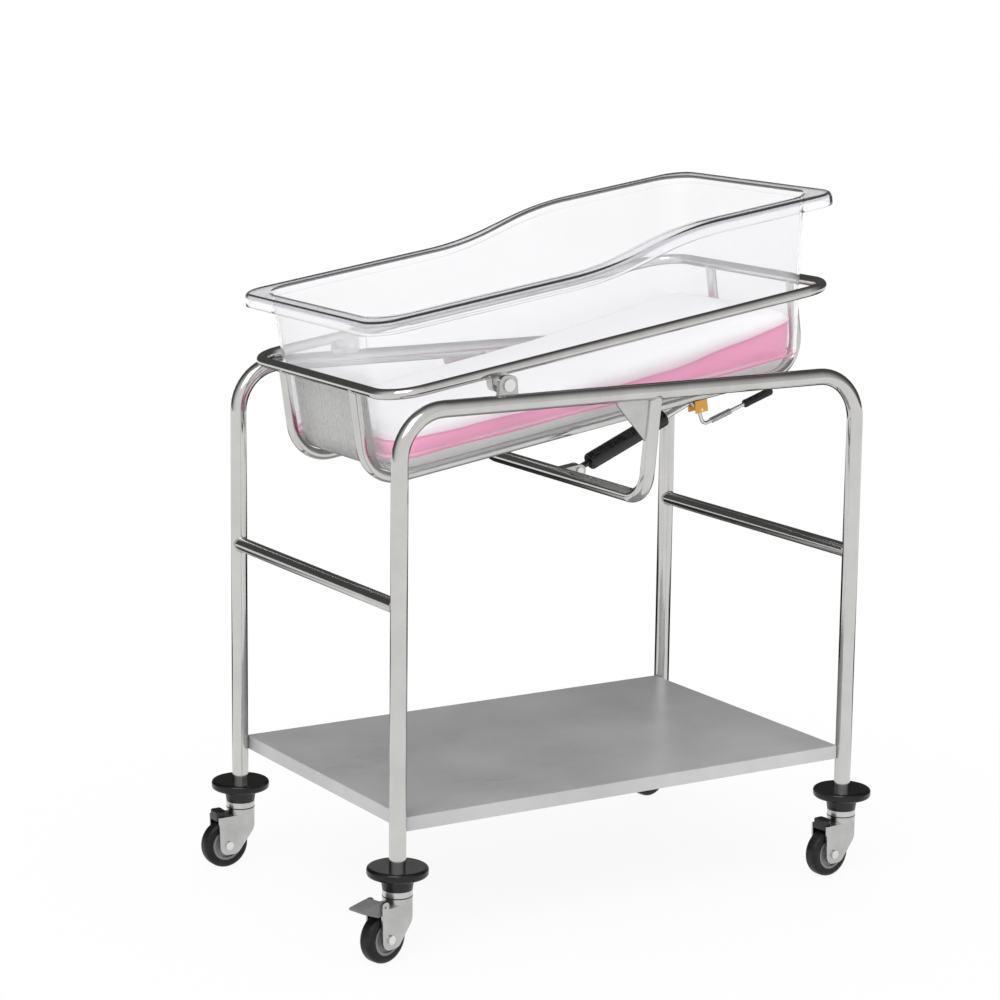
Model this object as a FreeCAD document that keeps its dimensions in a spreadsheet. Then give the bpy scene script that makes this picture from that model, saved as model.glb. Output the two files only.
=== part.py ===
"""Hospital bassinet: a tube stand on swivel casters with a tilting cradle, a clear tub and bedding.

Frame: X runs along the length (head end at +X), Y across, +Z up. The origin lies on the floor, midway
between the four legs. Lengths are millimetres, angles degrees.
"""
import FreeCAD
import Part
import Sketcher
import math
import os
from types import SimpleNamespace

Vector = FreeCAD.Vector

DIMENSIONS = {
    # side arches, crossbars and shelf
    "leg_span": 800,
    "leg_width": 500,
    "tube_dia": 25,
    "tube_wall": 1.5,
    "rail_height": 792,
    "arch_bend": 70,
    "crossbar_dia": 22,
    "crossbar_height": 515,
    "shelf_height": 207,
    "shelf_flange": 21,
    "shelf_gauge": 1.5,
    "shelf_overhang": 1,
    "shelf_edge_radius": 3,
    "shelf_edge_round": 1.1,
    # drop yoke and gussets
    "yoke_x": 28.6,
    "yoke_dia": 22,
    "yoke_hang": 165,
    "yoke_lean": 7.5,
    "yoke_bend": 45,
    "gusset_length": 55,
    "gusset_drop": 63,
    "gusset_gauge": 4,
    # tilt pivot: its place along the rails and above them, and the pieces that carry it
    "pivot_x": -223,
    "pivot_rise": 26,
    "pivot_pin_dia": 10,
    "bracket_width": 34,
    "bracket_gauge": 8,
    "bracket_nose": 14,
    "bracket_corner": 10.5,
    "bracket_inset": 4,
    "lug_width": 26,
    "lug_thickness": 16,
    "lug_corner": 10.4,
    "bush_dia": 18,
    "pin_head": 3,
    # cradle frame: its origin above the rails and the tilt it rests at
    "cradle_rise": 76,
    "tilt": 8.7,
    "ring_dia": 16,
    "ring_wall": 1.5,
    "ring_head_space": 18,
    "ring_side_space": 32,
    "ring_corner": 50,
    "vent_dia": 4,
    "hoop_dia": 16,
    "hoop_wall": 1.5,
    "hoop_side": 107,
    "hoop_drop": 146,
    "hoop_bend": 57,
    # gas strut
    "strut_foot_reach": 27.4,
    "strut_foot_rise": 5,
    "strut_head_x": 275,
    "strut_head_drop": 66,
    "cylinder_dia": 27,
    "cylinder_wall": 2.5,
    "cylinder_start": 25,
    "cylinder_length": 152,
    "gland_length": 10,
    "cylinder_neck": 4.8,
    "cylinder_base_round": 3.75,
    "rod_dia": 10,
    "rod_length": 150,
    "eye_radius": 8,
    "eye_width": 12,
    "strut_pin_dia": 8,
    "strut_pin_head_dia": 11.2,
    "base_lug_radius": 11,
    "base_lug_gauge": 4,
    "base_lug_corner": 9.9,
    "base_lug_drop": 6.6,
    "eye_end_space": 2,
    "top_bracket_gauge": 2.5,
    "top_bracket_nose": 12,
    "top_bracket_width": 26,
    "top_bracket_corner": 10.8,
    "open_pivot_clearance": 4.5,
    "strut_bar_dia": 12,
    # release head, lever and grip
    "cap_length": 23,
    "cap_height": 26,
    "cap_wall": 2.2,
    "cap_lead": 5,
    "cap_end_wall": 4.5,
    "lever_pin_dia": 4,
    "lever_drop": 17,
    "lever_lead": 7,
    "lever_eye_radius": 4,
    "lever_eye_width": 8,
    "lever_eye_lap": 1,
    "lever_start_share": 0.125,
    "lever_wire_dia": 6,
    "lever_elbow_lead": 6,
    "lever_elbow_drop": 27,
    "lever_bend": 9,
    "lever_reach": 140,
    "lever_rise": 10,
    "grip_dia": 13,
    "grip_length": 57,
    "grip_end": 5,
    "grip_end_round": 3.9,
    "grip_start_round": 1.95,
    # clear tub, in the cradle frame, with its ends and sides taken from the ring's
    "tub_wall": 4,
    "tub_seat": 0.3,
    "tub_foot_base_inset": 18,
    "tub_foot_top_inset": 13,
    "tub_head_base_inset": 30,
    "tub_head_top_reach": 8,
    "tub_side_base_inset": 48,
    "tub_side_top_inset": 32.5,
    "tub_corner_base": 48,
    "tub_corner_top": 50,
    "tub_base_radius": 38,
    "rim_foot": 106,
    "rim_head": 139,
    "rim_step_start": -20,
    "rim_step_end": 118,
    "rim_step_radius": 450,
    "taper_over_rim": 10,
    "lip_foot_reach": 13,
    "lip_head_reach": 35,
    "lip_side_inset": 3,
    "lip_corner": 45,
    "lip_depth": 19,
    # bedding, in the cradle frame
    "mattress_gap": 3,
    "mattress_top_foot": -70,
    "mattress_top_middle": -60,
    "mattress_top_head": -35,
    "mattress_middle": 50,
    "sheet_gauge": 1.5,
    "hem_foot": -80,
    "hem_middle": -86,
    "hem_head": -58,
    # casters
    "near_foot_turn": 14.5,
    "near_head_turn": 6,
    "far_foot_turn": 1,
    "far_head_turn": 12,
    "wheel_dia": 75,
    "wheel_width": 24,
    "tyre_shoulder": 8,
    "hub_dia": 50,
    "hub_width": 22,
    "hub_boss_dia": 18,
    "hub_recess": 3.5,
    "hub_flange": 4,
    "trail": 29,
    "axle_dia": 8,
    "axle_cap_dia": 13,
    "axle_cap": 3,
    "fork_gap": 29,
    "fork_gauge": 3,
    "fork_front": 20,
    "fork_corner": 11,
    "fork_back": 46,
    "fork_foot": 15,
    "fork_foot_round": 14,
    "fork_cheek_height": 66,
    "fork_shoulder_round": 12,
    "roof_back": 33,
    "roof_height": 84,
    "race_dia": 44,
    "race_height": 9.7,
    "upper_race": 9,
    "cup_height": 20,
    "cup_dia": 50,
    "king_pin_dia": 10,
    "king_nut_dia": 16,
    "king_nut": 4,
    "bumper_dia": 90,
    "bumper_height": 14,
    "bumper_rim": 5,
    "stem_dia": 21.6,
    "stem_length": 67,
    # brake pedal on a caster's fork
    "pedal_pivot_back": 40,
    "pedal_pivot_rise": 4,
    "pedal_pin_dia": 4,
    "pedal_ear": 7,
    "pedal_ear_round": 5,
    "pedal_width": 27,
    "pedal_wall": 2.5,
    "pedal_root": 5,
    "pedal_root_rise": 4,
    "pedal_root_drop": 6,
    "pedal_crown": 7,
    "pedal_crown_rise": 8.5,
    "pedal_crown_round": 16,
    "pedal_reach": 42,
    "pedal_tip_rise": 2.5,
    "pedal_tip_gauge": 3.5,
    "pedal_tip_round": 1.4,
    "brake_shoe_start": 3,
    "brake_shoe_length": 8,
    "brake_shoe_drop": 13.6,
    # clearances
    "running_fit": 0.08,
    "body_gap": 0.3,
}

ENDS = {"foot": -1, "head": 1}
SIDES = {"near": -1, "far": 1}
BRAKED_CASTERS = ("near_foot", "far_head")
CUT_MARGIN = 20
FACE_MARGIN = 1
TOOL_REACH = 2
BASE_STEP = 15
QUARTER_TURN = 90
FULL_TURN = 360

document = FreeCAD.newDocument("Bassinet")
parts = {}


# ---------------------------------------------------------------- sizes and formulas

class Size:
    """A number with the sheet formula that gives it."""

    def __init__(self, value, formula):
        self.value = float(value)
        self.formula = formula

    @staticmethod
    def of(number):
        """Wraps a plain number, and leaves a Size as it is."""
        if isinstance(number, Size):
            return number
        return Size(number, f"{float(number)}")

    def _joined(self, other, sign, value):
        return Size(value, f"({self.formula} {sign} {other.formula})")

    def __add__(self, other):
        other = Size.of(other)
        return self._joined(other, "+", self.value + other.value)

    def __sub__(self, other):
        other = Size.of(other)
        return self._joined(other, "-", self.value - other.value)

    def __mul__(self, other):
        other = Size.of(other)
        return self._joined(other, "*", self.value * other.value)

    def __truediv__(self, other):
        other = Size.of(other)
        return self._joined(other, "/", self.value / other.value)

    def __radd__(self, other):
        return Size.of(other) + self

    def __rsub__(self, other):
        return Size.of(other) - self

    def __rmul__(self, other):
        return Size.of(other) * self

    def __neg__(self):
        return 0 - self


def sine(angle):
    return Size(math.sin(math.radians(angle.value)), f"sin({angle.formula})")


def cosine(angle):
    return Size(math.cos(math.radians(angle.value)), f"cos({angle.formula})")


def tangent(angle):
    return Size(math.tan(math.radians(angle.value)), f"tan({angle.formula})")


def distance(along, up):
    """Length of the hypotenuse."""
    return Size(math.hypot(along.value, up.value), f"sqrt({along.formula}^2 + {up.formula}^2)")


def slope(along, up):
    """Angle above the horizontal of a line that runs along and up."""
    return Size(math.degrees(math.atan2(up.value, along.value)), f"atan2({up.formula}; {along.formula})")


def make_sheet():
    """Writes the driving dimensions to the spreadsheet and returns them as sizes."""
    sheet = document.addObject("Spreadsheet::Sheet", "Dims")
    sizes = SimpleNamespace()
    for row, (alias, value) in enumerate(DIMENSIONS.items(), start=1):
        sheet.set(f"A{row}", alias)
        sheet.set(f"B{row}", str(value))
        sheet.setAlias(f"B{row}", alias)
        setattr(sizes, alias, Size(value, f"Dims.{alias}"))
    document.recompute()
    return sizes


def bind(item, path, size):
    """Gives a property its formula, or its plain number where no sheet value is in it."""
    item.setExpression(path, Size.of(size).formula)


# ---------------------------------------------------------------- sketches and features

def sketch_points(points):
    return [Vector(Size.of(point[0]).value, Size.of(point[1]).value, 0) for point in points]


class Outline:
    """A sketch on one of its body's origin planes, with each size bound to the sheet."""

    def __init__(self, body, name, plane, lift=0):
        self.sketch = body.newObject("Sketcher::SketchObject", name)
        support = next(item for item in body.Origin.OriginFeatures if item.Role == plane)
        self.sketch.AttachmentSupport = [(support, "")]
        self.sketch.MapMode = "FlatFace"
        bind(self.sketch, "AttachmentOffset.Base.z", lift)

    def fix(self, kind, references, size):
        """Adds a dimension and binds it."""
        size = Size.of(size)
        index = self.sketch.addConstraint(Sketcher.Constraint(kind, *references, size.value))
        self.sketch.setExpression(f"Constraints[{index}]", size.formula)

    def relate(self, kind, *references):
        """Adds a geometric constraint."""
        self.sketch.addConstraint(Sketcher.Constraint(kind, *references))

    def pin_down(self, geometry, end, point):
        """Fixes a point's place from the sketch's origin."""
        self.fix("DistanceX", (-1, 1, geometry, end), point[0])
        self.fix("DistanceY", (-1, 1, geometry, end), point[1])

    def circle(self, centre, radius):
        middle = sketch_points([centre])[0]
        geometry = self.sketch.addGeometry(Part.Circle(middle, Vector(0, 0, 1), Size.of(radius).value))
        self.fix("Radius", (geometry,), radius)
        self.pin_down(geometry, 3, centre)
        return self

    def ring(self, centre, outer, wall):
        """Two circles: the section of a tube."""
        return self.circle(centre, outer).circle(centre, outer - wall)

    def run(self, points, radii, closed=True):
        """Draws straight runs between the points, with a tangent arc at each corner that has a radius."""
        count = len(points)
        corners = range(count) if closed else range(1, count - 1)
        places = sketch_points(points)
        enter = list(places)
        leave = list(places)
        arcs = {}
        for corner in corners:
            radius = Size.of(radii[corner]).value
            before = (places[corner] - places[corner - 1]).normalize()
            after = (places[(corner + 1) % count] - places[corner]).normalize()
            turn = math.atan2(before.cross(after).z, before.dot(after))
            if radius == 0:
                continue
            setback = radius * math.tan(abs(turn) / 2)
            enter[corner] = places[corner] - before * setback
            leave[corner] = places[corner] + after * setback
            side = math.copysign(1, turn)
            inward = Vector(-before.y, before.x, 0) * side
            centre = enter[corner] + inward * radius
            first, last = (enter[corner], leave[corner])[::int(side)]
            start = math.atan2(first.y - centre.y, first.x - centre.x)
            end = math.atan2(last.y - centre.y, last.x - centre.x)
            circle = Part.Circle(centre, Vector(0, 0, 1), radius)
            arcs[corner] = (Part.ArcOfCircle(circle, start, end), side)
        segments = range(count if closed else count - 1)
        lines = [self.sketch.addGeometry(Part.LineSegment(leave[i], enter[(i + 1) % count]))
                 for i in segments]
        for corner in corners:
            into, out_of = lines[corner - 1], lines[corner]
            if corner not in arcs:
                self.relate("Coincident", into, 2, out_of, 1)
                self.pin_down(out_of, 1, points[corner])
                continue
            curve, side = arcs[corner]
            arc = self.sketch.addGeometry(curve)
            near_end, far_end = (1, 2)[::int(side)]
            self.relate("Tangent", into, 2, arc, near_end)
            self.relate("Tangent", arc, far_end, out_of, 1)
            self.fix("Radius", (arc,), radii[corner])
            mark = self.sketch.addGeometry(Part.Point(places[corner]), True)
            self.pin_down(mark, 1, points[corner])
            self.relate("PointOnObject", mark, 1, into)
            self.relate("PointOnObject", mark, 1, out_of)
        if not closed:
            self.pin_down(lines[0], 1, points[0])
            self.pin_down(lines[-1], 2, points[-1])
        return self

    def rounded_box(self, left, right, half, radius):
        """A rounded rectangle between two values of X, symmetric across."""
        points = [(left, -half), (right, -half), (right, half), (left, half)]
        return self.run(points, [radius] * 4)


def make_body(name):
    return document.addObject("PartDesign::Body", name)


def pad(body, outline, length, symmetric=False):
    feature = body.newObject("PartDesign::Pad", f"{body.Name}_pad")
    feature.Profile = outline.sketch
    feature.SideType = "Symmetric" if symmetric else "One side"
    bind(feature, "Length", length)
    return feature


def pocket(body, outline, length=None):
    """Cuts evenly to both sides of the sketch, through everything unless a length is given."""
    feature = body.newObject("PartDesign::Pocket", f"{body.Name}_pocket")
    feature.Profile = outline.sketch
    feature.SideType = "Symmetric"
    if length is None:
        feature.Type = "ThroughAll"
    else:
        bind(feature, "Length", length)
    return feature


def revolve(body, outline, axis):
    """Turns the outline all the way round one axis of its sketch."""
    feature = body.newObject("PartDesign::Revolution", f"{body.Name}_turned")
    feature.Profile = outline.sketch
    feature.ReferenceAxis = (outline.sketch, [axis])
    feature.Angle = FULL_TURN
    return feature


def pipe(body, spine, section, kind="Additive"):
    """Sweeps the section along the spine, to add it or to cut it away."""
    feature = body.newObject(f"PartDesign::{kind}Pipe", f"{body.Name}_{kind}_pipe")
    feature.Profile = section.sketch
    feature.Spine = spine.sketch
    return feature


def rod(name, radius, length, axis, centre):
    """A cylinder along one axis, given by its middle."""
    turns = {"X": (Vector(0, 1, 0), QUARTER_TURN), "Y": (Vector(-1, 0, 0), QUARTER_TURN),
             "Z": (Vector(0, 0, 1), 0)}
    item = document.addObject("Part::Cylinder", name)
    item.Placement = FreeCAD.Placement(Vector(), FreeCAD.Rotation(*turns[axis]))
    bind(item, "Radius", radius)
    bind(item, "Height", length)
    start = [place - length / 2 if axis == letter else place for letter, place in zip("XYZ", centre)]
    move_to(item, start)
    return item


def block(name, low, high):
    """A box between two corners."""
    item = document.addObject("Part::Box", name)
    for side, bottom, top in zip(("Length", "Width", "Height"), low, high):
        bind(item, side, top - bottom)
    move_to(item, low)
    return item


def cut(name, base, *tools):
    result = document.addObject("Part::Cut", name)
    result.Base = base
    result.Tool = tools[0] if len(tools) == 1 else fuse(f"{name}_tools", *tools)
    return result


def fuse(name, *shapes):
    result = document.addObject("Part::MultiFuse", name)
    result.Shapes = list(shapes)
    return result


def common(name, first, second):
    result = document.addObject("Part::Common", name)
    result.Base = first
    result.Tool = second
    return result


def move_to(item, place):
    for letter, value in zip("xyz", place):
        bind(item, f"Placement.Base.{letter}", value)


def turn(item, axis, angle):
    item.Placement = FreeCAD.Placement(Vector(), FreeCAD.Rotation(axis, Size.of(angle).value))
    bind(item, "Placement.Rotation.Angle", angle)


def keep(label, item):
    """Takes an object as a finished sub-part under its own label."""
    item.Label = label
    parts[label] = item
    return item


# ---------------------------------------------------------------- places worked out from the sheet

d = make_sheet()

leg_x = d.leg_span / 2
leg_y = d.leg_width / 2
axle_height = d.wheel_dia / 2
race_top = d.roof_height + d.race_height
mount_base = race_top + d.body_gap
cup_base = mount_base + d.upper_race
bumper_base = cup_base + d.cup_height
leg_foot = bumper_base + d.bumper_height
pedal_height = d.roof_height + d.pedal_pivot_rise
cradle_height = d.rail_height + d.cradle_rise
pivot_height = d.rail_height + d.pivot_rise
yoke_height = d.rail_height - d.yoke_hang
strut_foot_x = d.yoke_x + d.strut_foot_reach
strut_foot_height = yoke_height + d.strut_foot_rise
strut_head_height = d.rail_height - d.strut_head_drop
pivot_u = d.pivot_x * cosine(d.tilt) + (pivot_height - cradle_height) * sine(d.tilt)
pivot_w = (pivot_height - cradle_height) * cosine(d.tilt) - d.pivot_x * sine(d.tilt)
strut_run = d.strut_head_x - strut_foot_x
strut_rise = strut_head_height - strut_foot_height
strut_length = distance(strut_run, strut_rise)
head_u = d.strut_head_x * cosine(d.tilt) + (strut_head_height - cradle_height) * sine(d.tilt)
head_w = (strut_head_height - cradle_height) * cosine(d.tilt) - d.strut_head_x * sine(d.tilt)
lever_u = head_u + d.lever_lead
lever_w = head_w - d.lever_drop
cheek_inner = d.eye_width / 2 + d.body_gap
cheek_outer = cheek_inner + d.top_bracket_gauge
ring_foot = leg_x
ring_head = leg_x - d.ring_head_space
ring_half_width = leg_y - d.ring_side_space
tub_floor = d.tub_seat + d.hoop_dia / 2 - d.hoop_drop
taper_top = d.rim_head + d.taper_over_rim
tub_foot_base = ring_foot - d.tub_foot_base_inset
tub_foot_top = ring_foot - d.tub_foot_top_inset
tub_head_base = ring_head - d.tub_head_base_inset
tub_head_top = ring_head + d.tub_head_top_reach
tub_half_base = ring_half_width - d.tub_side_base_inset
tub_half_top = ring_half_width - d.tub_side_top_inset
lip_foot = ring_foot + d.lip_foot_reach
lip_head = ring_head + d.lip_head_reach
lip_half_width = ring_half_width - d.lip_side_inset
region_reach = lip_foot + lip_head


def in_cradle(item):
    """Places an object that is drawn in the cradle's own level frame."""
    turn(item, Vector(0, -1, 0), d.tilt)
    bind(item, "Placement.Base.z", cradle_height)
    return item


# ---------------------------------------------------------------- stand

def side_arch(side, sign):
    """One bent tube: leg, rail and leg."""
    body = make_body(f"{side}_side_arch")
    points = [(-leg_x, leg_foot), (-leg_x, d.rail_height), (leg_x, d.rail_height), (leg_x, leg_foot)]
    spine = Outline(body, f"{side}_arch_spine", "XZ_Plane")
    spine.run(points, [0, d.arch_bend, d.arch_bend, 0], closed=False)
    section = Outline(body, f"{side}_arch_section", "XY_Plane", leg_foot)
    section.ring((-leg_x, 0), d.tube_dia / 2, d.tube_wall)
    pipe(body, spine, section)
    move_to(body, (0, sign * leg_y, 0))
    keep(f"{side}_side_arch", body)


def crossbar(end, sign):
    """A tube between two legs, coped to their surfaces."""
    height = d.crossbar_height
    middle = (sign * leg_x, 0, height)
    bar = rod(f"{end}_bar_outer", d.crossbar_dia / 2, d.leg_width, "Y", middle)
    bore = rod(f"{end}_bar_bore", d.crossbar_dia / 2 - d.tube_wall, d.leg_width, "Y", middle)
    legs = [rod(f"{end}_bar_cope_{side}", d.tube_dia / 2, d.crossbar_dia * TOOL_REACH, "Z",
                (sign * leg_x, y_sign * leg_y, height)) for side, y_sign in SIDES.items()]
    keep(f"{end}_crossbar", cut(f"{end}_crossbar", bar, bore, *legs))


def shelf():
    """A sheet tray with turned-down edges, set between the four legs."""
    body = make_body("shelf")
    half_length = leg_x - d.tube_dia / 2
    half_width = leg_y + d.shelf_overhang
    base = d.shelf_height - d.shelf_flange
    outer = Outline(body, "shelf_outer", "XY_Plane", base)
    outer.rounded_box(-half_length, half_length, half_width, d.shelf_edge_radius)
    pad(body, outer, d.shelf_flange)
    inner = Outline(body, "shelf_inner", "XY_Plane", base)
    inner.rounded_box(d.shelf_gauge - half_length, half_length - d.shelf_gauge,
                      half_width - d.shelf_gauge, d.shelf_edge_radius - d.shelf_gauge)
    pocket(body, inner, (d.shelf_flange - d.shelf_gauge) * 2)
    document.recompute()
    tray = body.Tip
    rounded = body.newObject("PartDesign::Fillet", "shelf_edge")
    rounded.Base = (tray, edges_at_height(tray, d.shelf_height))
    bind(rounded, "Radius", d.shelf_edge_round)
    keep("shelf", body)


def edges_at_height(item, height):
    """Names of the edges that lie level at one height."""
    level = height.value
    tolerance = 1e-4
    return [f"Edge{index}" for index, edge in enumerate(item.Shape.Edges, start=1)
            if abs(edge.BoundBox.ZMin - level) < tolerance and abs(edge.BoundBox.ZMax - level) < tolerance]


def rail_cope(name, sign):
    """The solid outline of one rail's straight run."""
    return rod(name, d.tube_dia / 2, leg_x, "X", (0, sign * leg_y, d.rail_height))


def drop_yoke():
    """A U of tube that hangs under the two rails, leaning in towards its cross run."""
    body = make_body("yoke_tube")
    drop = d.rail_height - yoke_height
    half_low = leg_y - drop * tangent(d.yoke_lean)
    points = [(-leg_y, d.rail_height), (-half_low, yoke_height), (half_low, yoke_height),
              (leg_y, d.rail_height)]
    spine = Outline(body, "yoke_spine", "YZ_Plane")
    spine.run(points, [0, d.yoke_bend, d.yoke_bend, 0], closed=False)
    section = Outline(body, "yoke_section", "XY_Plane", d.rail_height)
    section.ring((0, -leg_y), d.yoke_dia / 2, d.tube_wall)
    pipe(body, spine, section)
    bind(body, "Placement.Base.x", d.yoke_x)
    copes = [rail_cope(f"yoke_cope_{side}", sign) for side, sign in SIDES.items()]
    above = block("yoke_trim", (-leg_x, -d.leg_width, d.rail_height),
                  (leg_x, d.leg_width, d.rail_height * TOOL_REACH))
    keep("drop_yoke", cut("drop_yoke", body, above, *copes))


def gusset(side, sign):
    """A three-cornered plate between one rail's underside and the yoke's leg."""
    body = make_body(f"{side}_gusset_plate")
    back = -d.yoke_dia / 2 - d.gusset_length
    low = -d.tube_dia / 2 - d.gusset_drop
    outline = Outline(body, f"{side}_gusset_outline", "XZ_Plane")
    outline.run([(back, 0), (back, -d.tube_dia / 2 - d.gusset_gauge), (-d.yoke_dia / 2, low),
                 (0, low), (0, 0)], [0] * 5)
    pad(body, outline, d.gusset_gauge, symmetric=True)
    turn(body, Vector(-sign, 0, 0), d.yoke_lean)
    move_to(body, (d.yoke_x, sign * leg_y, d.rail_height))
    leg = rod(f"{side}_gusset_leg", d.yoke_dia / 2, d.rail_height, "Z", (0, 0, 0))
    turn(leg, Vector(-sign, 0, 0), d.yoke_lean)
    half = d.rail_height / 2
    move_to(leg, (d.yoke_x, sign * (leg_y - half * sine(d.yoke_lean)),
                  d.rail_height - half * cosine(d.yoke_lean)))
    keep(f"{side}_gusset", cut(f"{side}_gusset", body, leg, rail_cope(f"{side}_gusset_rail", sign)))


def pivot_bracket(side, sign):
    """A plate that stands on the rail and carries the tilt pin."""
    body = make_body(f"{side}_bracket_plate")
    half = d.bracket_width / 2
    top = pivot_height + d.bracket_nose
    outline = Outline(body, f"{side}_bracket_outline", "XZ_Plane")
    outline.run([(d.pivot_x - half, d.rail_height), (d.pivot_x + half, d.rail_height),
                 (d.pivot_x + d.bracket_nose, top), (d.pivot_x - d.bracket_nose, top)],
                [0, 0, d.bracket_corner, d.bracket_corner])
    pad(body, outline, d.bracket_gauge, symmetric=True)
    bore = Outline(body, f"{side}_bracket_bore", "XZ_Plane")
    bore.circle((d.pivot_x, pivot_height), d.pivot_pin_dia / 2 + d.running_fit)
    pocket(body, bore)
    bind(body, "Placement.Base.y", sign * (leg_y - d.bracket_inset))
    rail = rail_cope(f"{side}_bracket_rail", sign)
    bind(rail, "Height", d.leg_span)
    bind(rail, "Placement.Base.x", -leg_x)
    keep(f"{side}_pivot_bracket", cut(f"{side}_pivot_bracket", body, rail))


def strut_base_lug():
    """A forked lug on the yoke's cross run, for the strut's lower pin."""
    body = make_body("base_lug_body")
    eye = d.base_lug_radius
    slot = d.eye_width + 2 * d.body_gap
    foot = (strut_foot_x, strut_foot_height)
    outline = Outline(body, "base_lug_outline", "XZ_Plane")
    outline.run([(d.yoke_x, yoke_height - d.base_lug_drop), (foot[0] + eye, foot[1] - eye),
                 (foot[0] + eye, foot[1] + eye), (d.yoke_x, yoke_height + eye)],
                [0, d.base_lug_corner, d.base_lug_corner, 0])
    pad(body, outline, slot + 2 * d.base_lug_gauge, symmetric=True)
    space = Outline(body, "base_lug_slot", "XZ_Plane")
    back = foot[0] - d.eye_radius - d.eye_end_space
    beyond = eye * TOOL_REACH
    space.run([(back, foot[1] - beyond), (foot[0] + beyond, foot[1] - beyond),
               (foot[0] + beyond, foot[1] + beyond), (back, foot[1] + beyond)], [0] * 4)
    pocket(body, space, slot)
    bore = Outline(body, "base_lug_bore", "XZ_Plane")
    bore.circle(foot, d.strut_pin_dia / 2)
    pocket(body, bore)
    tube = rod("base_lug_cope", d.yoke_dia / 2, leg_y, "Y", (d.yoke_x, 0, yoke_height))
    keep("strut_base_lug", cut("strut_base_lug", body, tube))
    width = slot + 2 * d.base_lug_gauge
    pin_place = (foot[0], 0, foot[1])
    shaft = rod("lower_pin_shaft", d.strut_pin_dia / 2, width + d.pin_head, "Y", pin_place)
    heads = [rod(f"lower_pin_head_{side}", d.strut_pin_head_dia / 2, d.pin_head, "Y",
                 (foot[0], sign * (width + d.pin_head) / 2, foot[1])) for side, sign in SIDES.items()]
    keep("strut_lower_pin", fuse("strut_lower_pin", shaft, *heads))


# ---------------------------------------------------------------- cradle

def ring_rail():
    """The level ring of tube, with one vent hole under its near side."""
    body = make_body("ring_rail")
    half = ring_half_width
    spine = Outline(body, "ring_spine", "XY_Plane")
    corner = d.ring_corner
    spine.run([(0, -half), (ring_head, -half), (ring_head, half), (-ring_foot, half),
               (-ring_foot, -half)], [0, corner, corner, corner, corner])
    outside = Outline(body, "ring_outside", "YZ_Plane").circle((-half, 0), d.ring_dia / 2)
    pipe(body, spine, outside)
    inside = Outline(body, "ring_inside", "YZ_Plane").circle((-half, 0), d.ring_dia / 2 - d.ring_wall)
    pipe(body, spine, inside, "Subtractive")
    vent = Outline(body, "ring_vent", "XY_Plane", -d.ring_dia / 2)
    vent.circle((0, -half), d.vent_dia / 2)
    pocket(body, vent, d.ring_dia)
    in_cradle(body)
    keep("ring_rail", body)


def hoop(side, sign):
    """A U of tube under the ring, on which the tub rests."""
    body = make_body(f"{side}_hoop_tube")
    spine = Outline(body, f"{side}_hoop_spine", "XZ_Plane")
    spine.run([(-ring_foot, 0), (-ring_foot, -d.hoop_drop), (ring_head, -d.hoop_drop),
               (ring_head, 0)], [0, d.hoop_bend, d.hoop_bend, 0], closed=False)
    section = Outline(body, f"{side}_hoop_section", "XY_Plane")
    section.ring((-ring_foot, 0), d.hoop_dia / 2, d.hoop_wall)
    pipe(body, spine, section)
    place = sign * d.hoop_side
    bind(body, "Placement.Base.y", place)
    copes = [rod(f"{side}_hoop_cope_{end}", d.ring_dia / 2, d.hoop_dia * TOOL_REACH, "Y", (u, place, 0))
             for end, u in (("foot", -ring_foot), ("head", ring_head))]
    keep(f"{side}_hoop", in_cradle(cut(f"{side}_hoop", body, *copes)))


def pivot_set(side, sign):
    """The ring's lug with its pin, and the bush that fills the space to the rail's bracket."""
    body = make_body(f"{side}_lug_block")
    half = d.lug_width / 2
    low = pivot_w - half
    outline = Outline(body, f"{side}_lug_outline", "XZ_Plane")
    outline.run([(pivot_u - half, 0), (pivot_u - half, low), (pivot_u + half, low), (pivot_u + half, 0)],
                [0, d.lug_corner, d.lug_corner, 0])
    pad(body, outline, d.lug_thickness, symmetric=True)
    bore = Outline(body, f"{side}_lug_bore", "XZ_Plane")
    bore.circle((pivot_u, pivot_w), d.pivot_pin_dia / 2)
    pocket(body, bore)
    middle = sign * ring_half_width
    bind(body, "Placement.Base.y", middle)
    tube = rod(f"{side}_lug_cope", d.ring_dia / 2, d.lug_width * TOOL_REACH, "X", (pivot_u, middle, 0))
    keep(f"{side}_ring_lug", in_cradle(cut(f"{side}_ring_lug", body, tube)))

    lug_face = ring_half_width + d.lug_thickness / 2
    bracket_face = leg_y - d.bracket_inset - d.bracket_gauge / 2 - d.body_gap
    inner_end = ring_half_width - d.lug_thickness / 2
    head_start = leg_y - d.bracket_inset + d.bracket_gauge / 2 + d.body_gap
    span = head_start - inner_end
    shaft = rod(f"{side}_pin_shaft", d.pivot_pin_dia / 2, span, "Y",
                (pivot_u, sign * (inner_end + span / 2), pivot_w))
    head = rod(f"{side}_pin_head", d.bush_dia / 2, d.pin_head, "Y",
               (pivot_u, sign * (head_start + d.pin_head / 2), pivot_w))
    keep(f"{side}_pivot_pin", in_cradle(fuse(f"{side}_pivot_pin", shaft, head)))

    bush_length = bracket_face - lug_face
    bush_place = (pivot_u, sign * (lug_face + bush_length / 2), pivot_w)
    bush = rod(f"{side}_bush_outer", d.bush_dia / 2, bush_length, "Y", bush_place)
    bush_bore = rod(f"{side}_bush_bore", d.pivot_pin_dia / 2, bush_length, "Y", bush_place)
    keep(f"{side}_spacer_bush", in_cradle(cut(f"{side}_spacer_bush", bush, bush_bore)))


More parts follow.
